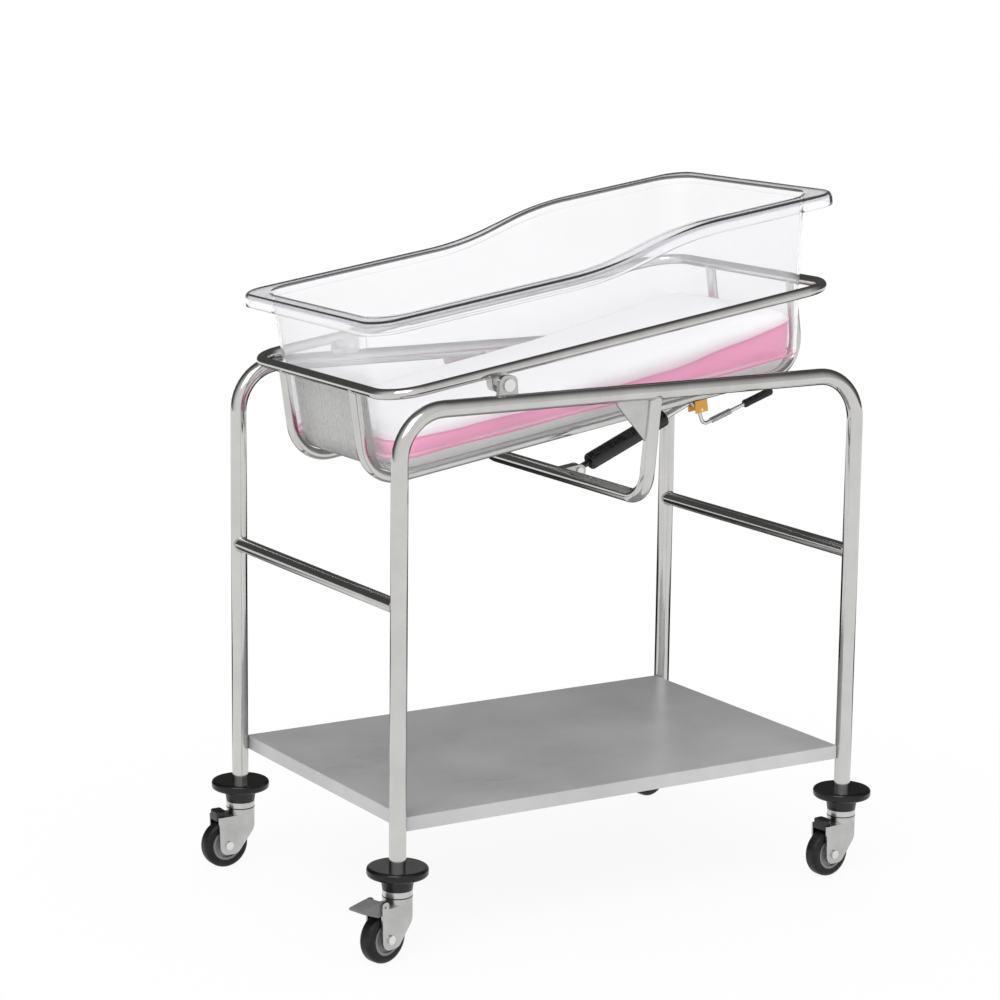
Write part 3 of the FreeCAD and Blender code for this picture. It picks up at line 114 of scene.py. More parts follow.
class Recipe:
    """A node tree, one method that adds any node to it and short forms of the common ones."""

    def __init__(self, tree: bpy.types.NodeTree) -> None:
        """Empties the tree."""
        self.tree = tree
        tree.nodes.clear()

    def add(self, kind: str, settings: dict[str, Any] | None = None, inputs: dict[Any, Any] | None = None,
            output: int | str = 0) -> Wire:
        """Adds a node, sets it up and wires it.

        Args:
            kind: the node's type without its ShaderNode prefix.
            settings: attributes set before the sockets; "stops" are a ramp's positions and greys.
            inputs: socket names or places, with values or wires.
            output: which output is returned.

        Returns:
            The chosen output, or a wire without a socket for a node that has none.
        """
        node = self.tree.nodes.new("ShaderNode" + kind)
        for name, value in (settings or {}).items():
            if name == "stops":
                self.set_stops(node.color_ramp, value)
            else:
                setattr(node, name, value)
        for place, value in (inputs or {}).items():
            if isinstance(value, Wire):
                self.tree.links.new(value.socket, node.inputs[place])
            else:
                node.inputs[place].default_value = value
        return Wire(self, node.outputs[output] if len(node.outputs) else None)

    @staticmethod
    def set_stops(ramp: bpy.types.ColorRamp, stops: list[tuple[float, float]]) -> None:
        """Gives a ramp its grey stops, as pairs of place and level."""
        while len(ramp.elements) < len(stops):
            ramp.elements.new(1.0)
        for element, (place, level) in zip(ramp.elements, stops):
            element.position = place
            element.color = (level, level, level, 1.0)

    def place(self, scale: Triple = (1.0, 1.0, 1.0), turn: Triple = (0.0, 0.0, 0.0),
              shift: Triple = (0.0, 0.0, 0.0)) -> Wire:
        """Object coordinates, stretched, turned and then shifted."""
        coordinates = self.add("TexCoord", output="Object")
        return self.add("Mapping", {}, {"Vector": coordinates, "Scale": scale, "Rotation": turn,
                                        "Location": shift})

    def parts(self, vector: Wire) -> list[Wire]:
        """A vector's three components."""
        node = self.add("SeparateXYZ", {}, {0: vector}).socket.node
        return [Wire(self, socket) for socket in node.outputs]

    def rise(self, value: Wire, start: float, end: float) -> Wire:
        """Smoothly from 0 at the start to 1 at the end, which may be the lower one."""
        return self.add("MapRange", {"interpolation_type": "SMOOTHSTEP"},
                        {"Value": value, "From Min": start, "From Max": end})

    def band(self, value: Wire, marks: Marks) -> Wire:
        """Up from 0 to 1 between the first two marks, and down to 0 between the last two."""
        return self.rise(value, marks[0], marks[1]) * self.rise(value, marks[3], marks[2])

    def measure(self, operation: str, *vectors: Any) -> Wire:
        """One number from vectors: a length or a dot product."""
        return self.add("VectorMath", {"operation": operation}, dict(enumerate(vectors)), output="Value")

    def noise(self, vector: Wire, scale: float, detail: float, roughness: float) -> Wire:
        """Smooth noise between 0 and 1."""
        return self.add("TexNoise", {}, {"Vector": vector, "Scale": scale, "Detail": detail,
                                         "Roughness": roughness})

    def ramp(self, value: Wire, *stops: tuple[float, float]) -> Wire:
        """A value put through grey stops."""
        return self.add("ValToRGB", {"stops": list(stops)}, {"Fac": value})

    def blend(self, factor: Wire, first: Any, second: Any) -> Wire:
        """A colour between two, by a factor."""
        first, second = (c if isinstance(c, Wire) else (*c, 1.0) for c in (first, second))
        return self.add("Mix", {"data_type": "RGBA"}, {0: factor, 6: first, 7: second}, output=2)

    def bump(self, height: Wire, strength: float, distance: float) -> Wire:
        """A normal from a height."""
        return self.add("Bump", {}, {"Height": height, "Strength": strength, "Distance": distance})

    def principled(self, inputs: dict[str, Any]) -> Wire:
        """The shader that every surface of the object is made of."""
        return self.add("BsdfPrincipled", {}, inputs)

    def glow(self, colour: Any) -> Wire:
        """A surface that is seen just as its colour says."""
        return self.add("Emission", {}, {"Color": colour, "Strength": 1.0})

    def mixed(self, factor: Wire, first: Wire, second: Wire) -> Wire:
        """A shader between two, by a factor."""
        return self.add("MixShader", {}, {0: factor, 1: first, 2: second})

    def output(self, surface: Wire) -> None:
        """Sends a shader to the surface, or to the world where the tree is the world's."""
        kind = "OutputWorld" if any(n.type == "BACKGROUND" for n in self.tree.nodes) else "OutputMaterial"
        self.add(kind, {}, {"Surface": surface})


def blank_material(name: str) -> tuple[bpy.types.Material, Recipe]:
    """A new material and its empty recipe."""
    material = bpy.data.materials.new(name)
    material.use_nodes = True
    return material, Recipe(material.node_tree)


def share_of(colour: Colour, share: float) -> Colour:
    """A colour at a share of its strength."""
    return tuple(channel * share for channel in colour)


@dataclass(frozen=True)
class Cradle:
    """The tilted frame of ring, hoops, tub and bedding."""

    height: float = 868 * MM
    tilt: float = math.radians(8.7)

    def world(self, u: Any, y: Any, w: Any) -> np.ndarray:
        """Points in the frame's axes: the tilt turns U and W about Y, and the height lifts them."""
        u, y, w = np.broadcast_arrays(u, y, w)
        return np.stack([u * math.cos(self.tilt) - w * math.sin(self.tilt), y,
                         self.height + u * math.sin(self.tilt) + w * math.cos(self.tilt)], -1)

    def placed(self, rows: list[tuple[Any, Any, Any]]) -> np.ndarray:
        """Rows of U, Y and W turned into the frame's axes."""
        return np.stack([self.world(u, y, w) for u, y, w in rows])

    def coordinates(self, recipe: Recipe) -> list[Wire]:
        """U, Y and W on a surface: the height is taken off and the tilt is turned back."""
        shift = (-self.height * math.sin(self.tilt), 0.0, -self.height * math.cos(self.tilt))
        return recipe.parts(recipe.place(turn=(0.0, self.tilt, 0.0), shift=shift))


CRADLE = Cradle()


class Finish:
    """A surface finish: a name and a recipe of nodes."""

    name: str

    def surface(self, recipe: Recipe) -> Wire:
        """Builds the shader; each finish has its own."""
        raise NotImplementedError

    def material(self) -> bpy.types.Material:
        """The finish as a material, made once."""
        made = bpy.data.materials.get(self.name)
        if made is None:
            made, recipe = blank_material(self.name)
            recipe.output(self.surface(recipe))
        return made


class Grain(Enum):
    """The way that polishing or brushing lines run, as stretches of the pattern."""

    ALONG_X = (1.0, 60.0, 60.0)
    ALONG_Y = (60.0, 1.0, 60.0)
    EVEN = (20.0, 20.0, 20.0)


@dataclass(frozen=True)
class Metal(Finish):
    """Bare or plated metal with fine working lines and faint blotches, which on the brushed sheet are also a
    painted reflection.
    """

    name: str
    tint: Colour
    roughness: float
    grain: Grain = Grain.EVEN
    line_depth: float = 0.00002
    blotch_and_reflection: float = 0.08
    spread: float = 0.06
    metallic: float = 1.0
    cloud_scale: float = 22.0
    line_scale: float = 14.0
    line_strength: float = 0.35

    def surface(self, recipe: Recipe) -> Wire:
        """Lines from stretched noise; blotches from broad noise darken the tint and dull the polish, and
        broad deep ones paint a soft reflection.
        """
        lines = recipe.noise(recipe.place(self.grain.value), self.line_scale, 3.0, 0.6)
        clouds = recipe.noise(recipe.place(), self.cloud_scale, 4.0, 0.6)
        dark = share_of(self.tint, 1.0 - 2.0 * self.blotch_and_reflection)
        return recipe.principled({
            "Base Color": recipe.blend(recipe.ramp(clouds, (0.3, 0.0), (0.7, 1.0)), dark, self.tint),
            "Metallic": self.metallic,
            "Roughness": lines * self.spread + clouds * self.spread + (self.roughness - self.spread),
            "Normal": recipe.bump(lines, self.line_strength, self.line_depth),
        })


@dataclass(frozen=True)
class Moulded(Finish):
    """Moulded plastic, rubber or paint: fine grain, soft mottling and worn, lighter patches."""

    name: str
    tint: Colour
    roughness: float
    grain_size: float = 900.0
    grain_depth: float = 0.00008
    dust: float = 0.25
    dust_tint: Colour = (0.30, 0.29, 0.27)
    specular: float = 0.5
    dust_scale: float = 35.0
    dulled: float = 0.3
    unevenness: float = 0.1

    def surface(self, recipe: Recipe) -> Wire:
        """Grain feeds the bump; broad noise lays dust that lightens the tint and dulls the gloss."""
        grain = recipe.noise(recipe.place(), self.grain_size, 2.0, 0.6)
        clouds = recipe.noise(recipe.place(), self.dust_scale, 5.0, 0.65)
        dusty = recipe.ramp(clouds, (0.45, 0.0), (0.85, 1.0)) * self.dust
        smoothest = self.roughness - self.unevenness / 2
        return recipe.principled({
            "Base Color": recipe.blend(dusty, self.tint, self.dust_tint),
            "Roughness": dusty * self.dulled + grain * self.unevenness + smoothest,
            "Specular IOR Level": self.specular,
            "Normal": recipe.bump(grain, 0.5, self.grain_depth),
        })


@dataclass(frozen=True)
class CupAndRace(Finish):
    """A plated race below a black moulded cup, parted at one height."""

    name: str
    plating: Colour
    moulding: Colour
    parting: float = 103 * MM
    edge: float = 0.3 * MM
    wear_scale: float = 120.0
    wear_depth: float = 0.00005
    roughness: float = 0.27
    plated_gloss: float = 0.05

    def surface(self, recipe: Recipe) -> Wire:
        """A mask by height swaps tint, metal and gloss; noise gives wear on both."""
        plated = recipe.rise(recipe.parts(recipe.place())[2], self.parting + self.edge,
                             self.parting - self.edge)
        wear = recipe.noise(recipe.place(), self.wear_scale, 4.0, 0.6)
        metal = recipe.blend(wear, share_of(self.plating, 0.75), self.plating)
        return recipe.principled({
            "Base Color": recipe.blend(plated, self.moulding, metal),
            "Metallic": plated,
            "Roughness": wear * 0.12 + plated * -self.plated_gloss + self.roughness,
            "Specular IOR Level": 0.4,
            "Normal": recipe.bump(wear, 0.4, self.wear_depth),
        })


@dataclass(frozen=True)
class ClearAcrylic(Finish):
    """Clear moulded acrylic: a darker bend at the lip, painted shade for its dark edge line; a faint haze;
    and a frosted panel at the foot, grey with painted shade.

    The surface's UV map counts the zones up the tub: base and walls are 1 to 3, the lip's outer bend is
    5 to 6. The panel's pairs are where it starts and where it is full: along the tub, below the ring
    and away from the middle. The near wall has only a share of the haze.
    """

    name: str
    tint: Colour
    # Painted shade: the glass's tint at the lip's outer bend, for the dark line that the bend shows.
    bend_shade: Colour
    # The frost's grey colour is painted shade for the foot wall, which lies in shade.
    frost_shade_tint: Colour
    ior: float = 1.12
    bend_zone: Marks = (5.0, 5.35, 5.7, 6.1)
    wall: tuple[float, float] = (-364 * MM, -376 * MM)
    level: tuple[float, float] = (-4 * MM, -20 * MM)
    side: tuple[float, float] = (114 * MM, 106 * MM)
    frost_and_shade: float = 0.75
    frost_depth: float = 0.6 * MM
    # Painted shade: a faint grey frost round the base, for the darker look of the base's bend.
    base: tuple[float, float] = (-104 * MM, -122 * MM)
    base_shade: float = 0.12
    haze_tint: Colour = (0.93, 0.93, 0.95)
    haze_zone: Marks = (0.5, 1.5, 3.4, 3.9)
    haze_side: tuple[float, float] = (-150 * MM, -110 * MM)
    haze: float = 0.22
    near_haze: float = 0.4
    streak_stretch: Triple = (2.0, 240.0, 5.0)
    sparkle_scale: float = 210.0
    cloud_scale: float = 9.0

    def frosted_shade(self, recipe: Recipe, streaks: Wire) -> Wire:
        """A rough surface drawn out in streaks: its grey is painted shade and its pale sparkling flecks are
        painted glints.
        """
        sparkle = recipe.noise(recipe.place((1.0, 1.4, 1.0)), self.sparkle_scale, 2.0, 0.7)
        pale = recipe.ramp(sparkle, (0.42, 0.0), (0.62, 1.0)) | recipe.ramp(streaks, (0.35, 0.0), (0.8, 0.45))
        return recipe.principled({
            "Base Color": recipe.blend(pale, share_of(self.frost_shade_tint, 0.7), self.frost_shade_tint),
            "Roughness": streaks * 0.3 + 0.15,
            "Normal": recipe.bump(streaks + sparkle * 0.4, 0.6, self.frost_depth),
        })

    def surface(self, recipe: Recipe) -> Wire:
        """Glass with a pale veil mixed in on the walls and a painted dark band at the lip's bend, and frost
        at the foot and, faintly, the base, whose grey is painted shade.
        """
        u, v, w = CRADLE.coordinates(recipe)
        streaks = recipe.noise(recipe.place(self.streak_stretch), 1.0, 4.0, 0.65)
        clouds = recipe.noise(recipe.place(), self.cloud_scale, 3.0, 0.5)
        zone = recipe.parts(recipe.add("TexCoord", output="UV"))[1]
        # The lip's outer bend takes a darker tint: a painted dark edge line.
        glass = recipe.principled({
            "Base Color": recipe.blend(recipe.band(zone, self.bend_zone), self.tint, self.bend_shade),
            "Roughness": clouds * 0.03,
            "IOR": self.ior,
            "Transmission Weight": 1.0,
        })
        veil = recipe.principled({
            "Base Color": recipe.blend(clouds, share_of(self.haze_tint, 0.9), self.haze_tint),
            "Roughness": 0.9,
            "Specular IOR Level": 0.0,
        })
        thick = recipe.rise(v, *self.haze_side) * (1.0 - self.near_haze) + self.near_haze
        hazy = recipe.mixed(recipe.band(zone, self.haze_zone) * thick * self.haze, glass, veil)
        # The foot panel: a frosted patch whose grey paints the shade that the foot wall lies in.
        panel = (recipe.rise(u, *self.wall) * recipe.rise(w, *self.level)
                 * recipe.rise(abs(v), *self.side) * self.frost_and_shade)
        # The base's faint grey frost is painted shade too.
        base = recipe.rise(w, *self.base) * self.base_shade
        return recipe.mixed((panel | base) * (streaks * 0.3 + 0.85), hazy, self.frosted_shade(recipe, streaks))


@dataclass(frozen=True)
class Cloth(Finish):
    """Woven cloth: two sets of threads, slubs and a soft sheen."""

    name: str
    tint: Colour
    shade: Colour
    threads: float
    depth: float
    roughness: float = 0.85
    sheen: float = 0.25
    slub_scale: float = 60.0
    broad_scale: float = 7.0
    thread_wander: float = 1.2

    def colour(self, recipe: Recipe, cloth: Wire) -> Wire:
        """The cloth's colour as it is; a kind of cloth may lay more over it."""
        return cloth

    def relief(self, recipe: Recipe, weave: Wire) -> Wire:
        """The weave's height as it is; a kind of cloth may raise more."""
        return weave

    def surface(self, recipe: Recipe) -> Wire:
        """Two wave bands across each other make the weave; noise varies colour and thread height."""
        slubs = recipe.noise(recipe.place((1.0, 8.0, 8.0)), self.slub_scale, 3.0, 0.6)
        broad = recipe.noise(recipe.place(), self.broad_scale, 3.0, 0.5)
        bands = [recipe.add("TexWave", {"bands_direction": axis}, {
            "Vector": recipe.place(), "Scale": self.threads, "Distortion": self.thread_wander,
            "Detail": 1.0}, output="Fac") for axis in ("X", "Y")]
        weave = (bands[0] | bands[1]) + slubs * 0.5
        cloth = recipe.blend(broad * 0.6 + weave * 0.25, self.shade, self.tint)
        return recipe.principled({
            "Base Color": self.colour(recipe, cloth),
            "Roughness": self.roughness,
            "Sheen Weight": self.sheen,
            "Sheen Roughness": 0.5,
            "Normal": recipe.bump(self.relief(recipe, weave), 0.5, self.depth),
        })


@dataclass(frozen=True)
class PadCover(Cloth):
    """The mattress's cover: coloured sides over a pale base, parted at a line of the cradle."""

    base_tint: Colour = (0.80, 0.79, 0.78)
    parting: tuple[float, float] = (-103 * MM, -107 * MM)

    def colour(self, recipe: Recipe, cloth: Wire) -> Wire:
        """The base's tint takes over below the parting."""
        below = recipe.rise(CRADLE.coordinates(recipe)[2], *self.parting)
        return recipe.blend(below, cloth, self.base_tint)


@dataclass(frozen=True)
class HemmedCloth(Cloth):
    """A sheet whose UV map runs along its hem and up from it, in metres.

    The cover below shows through near the edge, and a row of stitches holds the turned hem.
    """

    below: Colour = (0.88, 0.40, 0.58)
    show_height: float = 26 * MM
    show: float = 0.42
    hem: float = 9 * MM
    stitch: float = 3.5 * MM
    stitch_share: float = 0.65
    thread: float = 0.5 * MM

    def across(self, recipe: Recipe) -> list[Wire]:
        """Along the hem and up from it."""
        return recipe.parts(recipe.add("TexCoord", output="UV"))

    def stitches(self, recipe: Recipe) -> Wire:
        """One on the thread: dashes along one line above the edge."""
        along, up, _ = self.across(recipe)
        dashes = (along % self.stitch) < self.stitch * self.stitch_share
        return (abs(up - self.hem) < self.thread) * dashes

    def colour(self, recipe: Recipe, cloth: Wire) -> Wire:
        """Near the edge the cover's colour comes through, and stitches lie a little darker."""
        near_edge = recipe.rise(self.across(recipe)[1], self.show_height, 0.0) * self.show
        tinted = recipe.blend(near_edge, cloth, self.below)
        return recipe.blend(self.stitches(recipe) * 0.4, tinted, self.shade)

    def relief(self, recipe: Recipe, weave: Wire) -> Wire:
        """The turned hem stands a step high and its stitches press it in."""
        turned = recipe.rise(self.across(recipe)[1], self.hem + self.thread, self.hem - self.thread)
        return weave + turned * 2.0 - self.stitches(recipe) * 2.0


# ---------------------------------------------------------------- finishes

TUBE = Metal("polished_stainless_tube", (0.61, 0.605, 0.59), 0.11, Grain.EVEN, 0.00001, 0.05, 0.04)
BAR = Metal("drawn_stainless_bar", (0.58, 0.575, 0.56), 0.15, Grain.ALONG_Y)
# The brushed sheet's broad, deep blotches are painted reflection: soft brighter and darker sweeps across the
# shelf.
PLATE = Metal("brushed_stainless_sheet", (0.66, 0.66, 0.67), 0.30, Grain.ALONG_X, 0.00004, 0.14, 0.1,
              0.25, 3.0)
ZINC = Metal("zinc_plated_steel", (0.56, 0.56, 0.55), 0.26, Grain.EVEN, 0.00003, 0.10)
BRIGHT = Metal("bright_plated_steel", (0.78, 0.78, 0.78), 0.12, Grain.EVEN)
WELD = Metal("welded_steel_bead", (0.56, 0.55, 0.53), 0.30, Grain.EVEN, 0.00006, 0.2)
CHROME = Metal("hard_chrome", (0.80, 0.80, 0.81), 0.08, Grain.EVEN, 0.00001, 0.02, 0.03)
CUP = CupAndRace("moulded_cup_and_race", (0.66, 0.66, 0.65), (0.010, 0.010, 0.011))
BUMPER = Moulded("bumper_rubber_black", (0.004, 0.004, 0.0045), 0.18, 700.0, 0.00004, 0.03, specular=0.35)
TYRE = Moulded("tyre_rubber_black", (0.007, 0.007, 0.008), 0.42, 800.0, 0.00012, 0.08, specular=0.25)
HUB = Moulded("moulded_hub_grey", (0.24, 0.24, 0.25), 0.35, 900.0, 0.00006, 0.20)
PEDAL = Moulded("moulded_pedal_grey", (0.17, 0.17, 0.175), 0.40, 900.0, 0.00008, 0.15, (0.4, 0.4, 0.38))
# Black moulding of the race seals, and of the fork's back block, where it is painted shade.
BLACK_SEAL_AND_SHADE = Moulded("black_seal_and_painted_shade", (0.012, 0.012, 0.013), 0.35, 900.0, 0.00005, 0.06, specular=0.4)
STRUT_PAINT = Moulded("strut_paint_black", (0.010, 0.010, 0.011), 0.28, 500.0, 0.00003, 0.05)
ORANGE = Moulded("moulded_orange", (1.0, 0.50, 0.06), 0.32, 1000.0, 0.00004, 0.05, (0.9, 0.5, 0.2))
GRIP = Moulded("grip_rubber_black", (0.010, 0.010, 0.011), 0.42, 900.0, 0.0001, 0.08, specular=0.4)
# The acrylic's second colour is a painted dark band at the lip's bend; its third is the foot panel's grey,
# painted shade over a frosted texture.
ACRYLIC = ClearAcrylic("clear_acrylic", (0.980, 0.980, 0.983), (0.66, 0.66, 0.70), (0.60, 0.61, 0.59))
PINK = PadCover("pink_mattress_cover", (1.0, 0.38, 0.62), (0.94, 0.28, 0.52), 420.0, 0.0001)
PIPING = Cloth("pink_piping", (0.86, 0.30, 0.50), (0.76, 0.22, 0.42), 500.0, 0.00006)
COTTON = HemmedCloth("white_cotton_sheet", (0.94, 0.94, 0.95), (0.86, 0.86, 0.89), 380.0, 0.00015)


# ---------------------------------------------------------------- mesh making

def grid_faces(rows: int, columns: int, flip: bool = False) -> np.ndarray:
    """Quads between neighbouring rows and columns of a grid of points, whose rows are rings.

    Args:
        rows: number of rows.
        columns: points in a row; the last one joins the first.
        flip: whether the quads are turned over.

    Returns:
        An array of four point numbers a quad.
    """
    row = np.arange(rows - 1)[:, None] * columns
    column = np.arange(columns)[None, :]
    after = (column + 1) % columns
    quads = np.stack([row + column, row + after, row + after + columns, row + column + columns], -1)
    quads = quads.reshape(-1, 4)
    return quads[:, ::-1] if flip else quads


def fan_faces(ring: np.ndarray, pole: int, flip: bool = False) -> np.ndarray:
    """Triangles that close a ring of point numbers to one pole."""
    faces = np.stack([ring, np.roll(ring, -1), np.full(len(ring), pole)], -1)
    return faces[:, ::-1] if flip else faces


def rod_skin(points: np.ndarray) -> Skin:
    """Rows of rings as a skin with a pole at each end."""
    rows, columns, _ = points.shape
    ring = np.arange(columns)
    flat = points.reshape(-1, 3)
    poles = np.stack([points[0].mean(0), points[-1].mean(0)])
    faces = [grid_faces(rows, columns), fan_faces(ring, len(flat), True),
             fan_faces(ring + (rows - 1) * columns, len(flat) + 1)]
    return np.concatenate([flat, poles]), faces


def loop_skin(points: np.ndarray) -> Skin:
    """Rows of rings as a skin whose last row joins the first."""
    rows, columns, _ = points.shape
    return points.reshape(-1, 3), [grid_faces(rows + 1, columns) % (rows * columns)]


def dish_skin(points: np.ndarray, outwards: bool) -> Skin:
    """Rows of rings as an open skin, closed to a pole in the middle only.

    Args:
        points: rows by columns by 3.
        outwards: whether the rows run from the middle out, with the faces turned over, or in to it.

    Returns:
        The skin; the pole is its last point.
    """
    rows, columns, _ = points.shape
    middle = 0 if outwards else rows - 1
    flat = np.concatenate([points.reshape(-1, 3), points[middle:middle + 1].mean(1)])
    fan = fan_faces(np.arange(columns) + middle * columns, len(flat) - 1)
    return flat, [grid_faces(rows, columns, flip=outwards), fan]


def joined(skins: list[Skin]) -> Skin:
    """Several skins as one, with the point numbers counted on."""
    starts = np.cumsum([0] + [len(points) for points, _ in skins])
    faces = [group + start for (_, groups), start in zip(skins, starts) for group in groups]
    return np.concatenate([points for points, _ in skins]), faces


def tube_rings(path: np.ndarray, radius: Any, reference: np.ndarray, sides: int = 8,
               closed: bool = False) -> np.ndarray:
    """Rings of points about a path.

    Each ring lies square to the path: one axis is the path's direction crossed with the reference, and
    the other is square to both.

    Args:
        path: points along it, one row each.
        radius: one for all, or one for each point.
        reference: a direction, or one for each point, that the path never runs along.
        sides: points in a ring.
        closed: whether the path's end meets its start.

    Returns:
        Rows by sides by 3.
    """
    ahead = np.roll(path, -1, 0) - np.roll(path, 1, 0)
    if not closed:
        ahead[0], ahead[-1] = path[1] - path[0], path[-1] - path[-2]
    ahead /= np.linalg.norm(ahead, axis=1, keepdims=True)
    across = np.cross(ahead, np.broadcast_to(reference, path.shape))
    across /= np.linalg.norm(across, axis=1, keepdims=True)
    up = np.cross(across, ahead)
    angle = np.linspace(0, 2 * math.pi, sides, endpoint=False)[None, :, None]
    size = np.broadcast_to(radius, len(path))[:, None, None]
    return path[:, None] + size * (np.cos(angle) * across[:, None] + np.sin(angle) * up[:, None])


def linked(name: str, data: bpy.types.ID) -> bpy.types.Object:
    """An object of some data, linked to the scene."""
    thing = bpy.data.objects.new(name, data)
    bpy.context.scene.collection.objects.link(thing)
    return thing


def shade_smooth(mesh: bpy.types.Mesh) -> None:
    """Shades all of a mesh's faces smooth."""
    mesh.polygons.foreach_set("use_smooth", np.full(len(mesh.polygons), True))


def new_piece(name: str, skin: Skin, finish: Finish, closed: bool = True) -> bpy.types.Object:
    """Makes a smooth mesh object.

    Args:
        name: the piece's name.
        skin: its points and faces.
        finish: what it is made of.
        closed: whether it has an inside, so that its faces are turned outwards.

    Returns:
        The object, linked to the scene.
    """
    points, faces = skin
    mesh = bpy.data.meshes.new(name)
    mesh.from_pydata(points.tolist(), [], [face for group in faces for face in group.tolist()])
    if closed:
        work = bmesh.new()
        work.from_mesh(mesh)
        bmesh.ops.recalc_face_normals(work, faces=work.faces)
        work.to_mesh(mesh)
        work.free()
    mesh.materials.append(finish.material())
    shade_smooth(mesh)
    mesh.update()
    return linked(name, mesh)


def lay_uv(piece: bpy.types.Object, around: np.ndarray, up: np.ndarray) -> None:
    """Gives a mesh a UV map from two values for each point."""
    corners = np.empty(len(piece.data.loops), np.int32)
    piece.data.loops.foreach_get("vertex_index", corners)
    layer = piece.data.uv_layers.new(name="surface")
    layer.data.foreach_set("uv", np.stack([around, up], -1)[corners].astype(np.float32).ravel())


def modify(piece: bpy.types.Object, kind: str, **settings: Any) -> bpy.types.Modifier:
    """Adds a modifier with its settings."""
    modifier = piece.modifiers.new(kind.lower(), kind)
    for name, value in settings.items():
        setattr(modifier, name, value)
    return modifier


def apply_modifiers(piece: bpy.types.Object) -> None:
    """Replaces a piece's mesh with what its modifiers make of it."""
    evaluated = piece.evaluated_get(bpy.context.evaluated_depsgraph_get())
    piece.data = bpy.data.meshes.new_from_object(evaluated)
    piece.modifiers.clear()


def point_values(piece: bpy.types.Object, kind: str = "co") -> np.ndarray:
    """A mesh's places, or another value of three numbers, one row for each point."""
    values = np.empty(len(piece.data.vertices) * 3, np.float32)
    piece.data.vertices.foreach_get(kind, values)
    return values.reshape(-1, 3)


def move_points(piece: bpy.types.Object, places: np.ndarray) -> None:
    """Puts a mesh's points in new places."""
    piece.data.vertices.foreach_set("co", places.astype(np.float32).ravel())
    piece.data.update()


def dress(nodes: list[str], finish: Finish) -> None:
    """Gives CAD nodes their finish."""
    for name in nodes:
        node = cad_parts[name]
        node.data.materials.clear()
        node.data.materials.append(finish.material())
        LOG.info("%s: %s", name, finish.name)


def settle(piece: bpy.types.Object, body: str, slot: str, *replaced: str) -> None:
    """Puts a finished piece on its body and hides the nodes that it stands for."""
    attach(piece, body)
    if replaced:
        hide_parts(*replaced)
    LOG.info("%s rides on %s, %d faces", piece.name, body, len(piece.data.polygons))


def weld_bead(centre: Triple, branch: Triple, run: Triple, radii: tuple[float, float],
              bead: float = 1.5 * MM, steps: int = 56, ripple_height: float = 0.12) -> Skin:
    """A rippled bead along the line where a branch tube meets the tube that it joins.

    Round the branch, a point's place along the run and across it is the branch's circle, and its
    height over the run's axis is the root of the run's radius squared less the place across squared.

    Args:
        centre: a point on the run's axis, in line with the branch.
        branch: unit direction of the branch, away from the run.
        run: unit direction of the run.
        radii: the branch's and the run's.
        bead: the bead's own radius.
        steps: points round the branch, four to a ripple.
        ripple_height: the ripples' share of the bead's radius.

    Returns:
        The bead's skin.
    """
    angle = np.linspace(0, 2 * math.pi, steps, endpoint=False)[:, None]
    branch_radius, run_radius = radii
    beside = branch_radius * np.sin(angle)
    height = np.sqrt(np.maximum(run_radius ** 2 - beside ** 2, 0.0))
    path = (np.array(centre) + branch_radius * np.cos(angle) * np.array(run)
            + beside * np.cross(branch, run) + height * np.array(branch))
    ripple = bead * (1.0 + ripple_height * np.sin(angle[:, 0] * steps / 4))
    return loop_skin(tube_rings(path, ripple, np.array(branch), closed=True))


# ---------------------------------------------------------------- the tub's form

@dataclass(frozen=True)
class RoundedBox:
    """Points round a box with round corners, the same count and order for every size."""

    corner_steps: int = 12
    side_steps: int = 56
    end_steps: int = 26

    def shares(self) -> tuple[np.ndarray, np.ndarray, np.ndarray]:
        """For each point: its share of the head end, its share across, and its angle on a corner."""
        along, across, angle = [], [], []
        quarter = np.linspace(0, math.pi / 2, self.corner_steps + 1)
        corners = ((1, 1), (0, 1), (0, -1), (1, -1))
        for start, (head, side) in enumerate(corners):
            next_head, next_side = corners[(start + 1) % 4]
            steps = self.side_steps if start % 2 == 0 else self.end_steps
            run = np.linspace(0, 1, steps + 1)[1:-1]
            along += [np.full(quarter.size, float(head)), head + (next_head - head) * run]
            across += [np.full(quarter.size, float(side)), side + (next_side - side) * run]
            angle += [quarter + start * math.pi / 2, np.full(run.size, (start + 1) * math.pi / 2)]
        return np.concatenate(along), np.concatenate(across), np.concatenate(angle)

    def outline(self, foot: Any, head: Any, half: Any, corner: Any) -> tuple[np.ndarray, np.ndarray]:
        """Each point is a corner's centre plus the corner's radius at its angle, run along the sides."""
        along, across, angle = self.shares()
        u = (1 - along) * (corner - foot) + along * (head - corner) + corner * np.cos(angle)
        y = across * (half - corner) + corner * np.sin(angle)
        return u, y


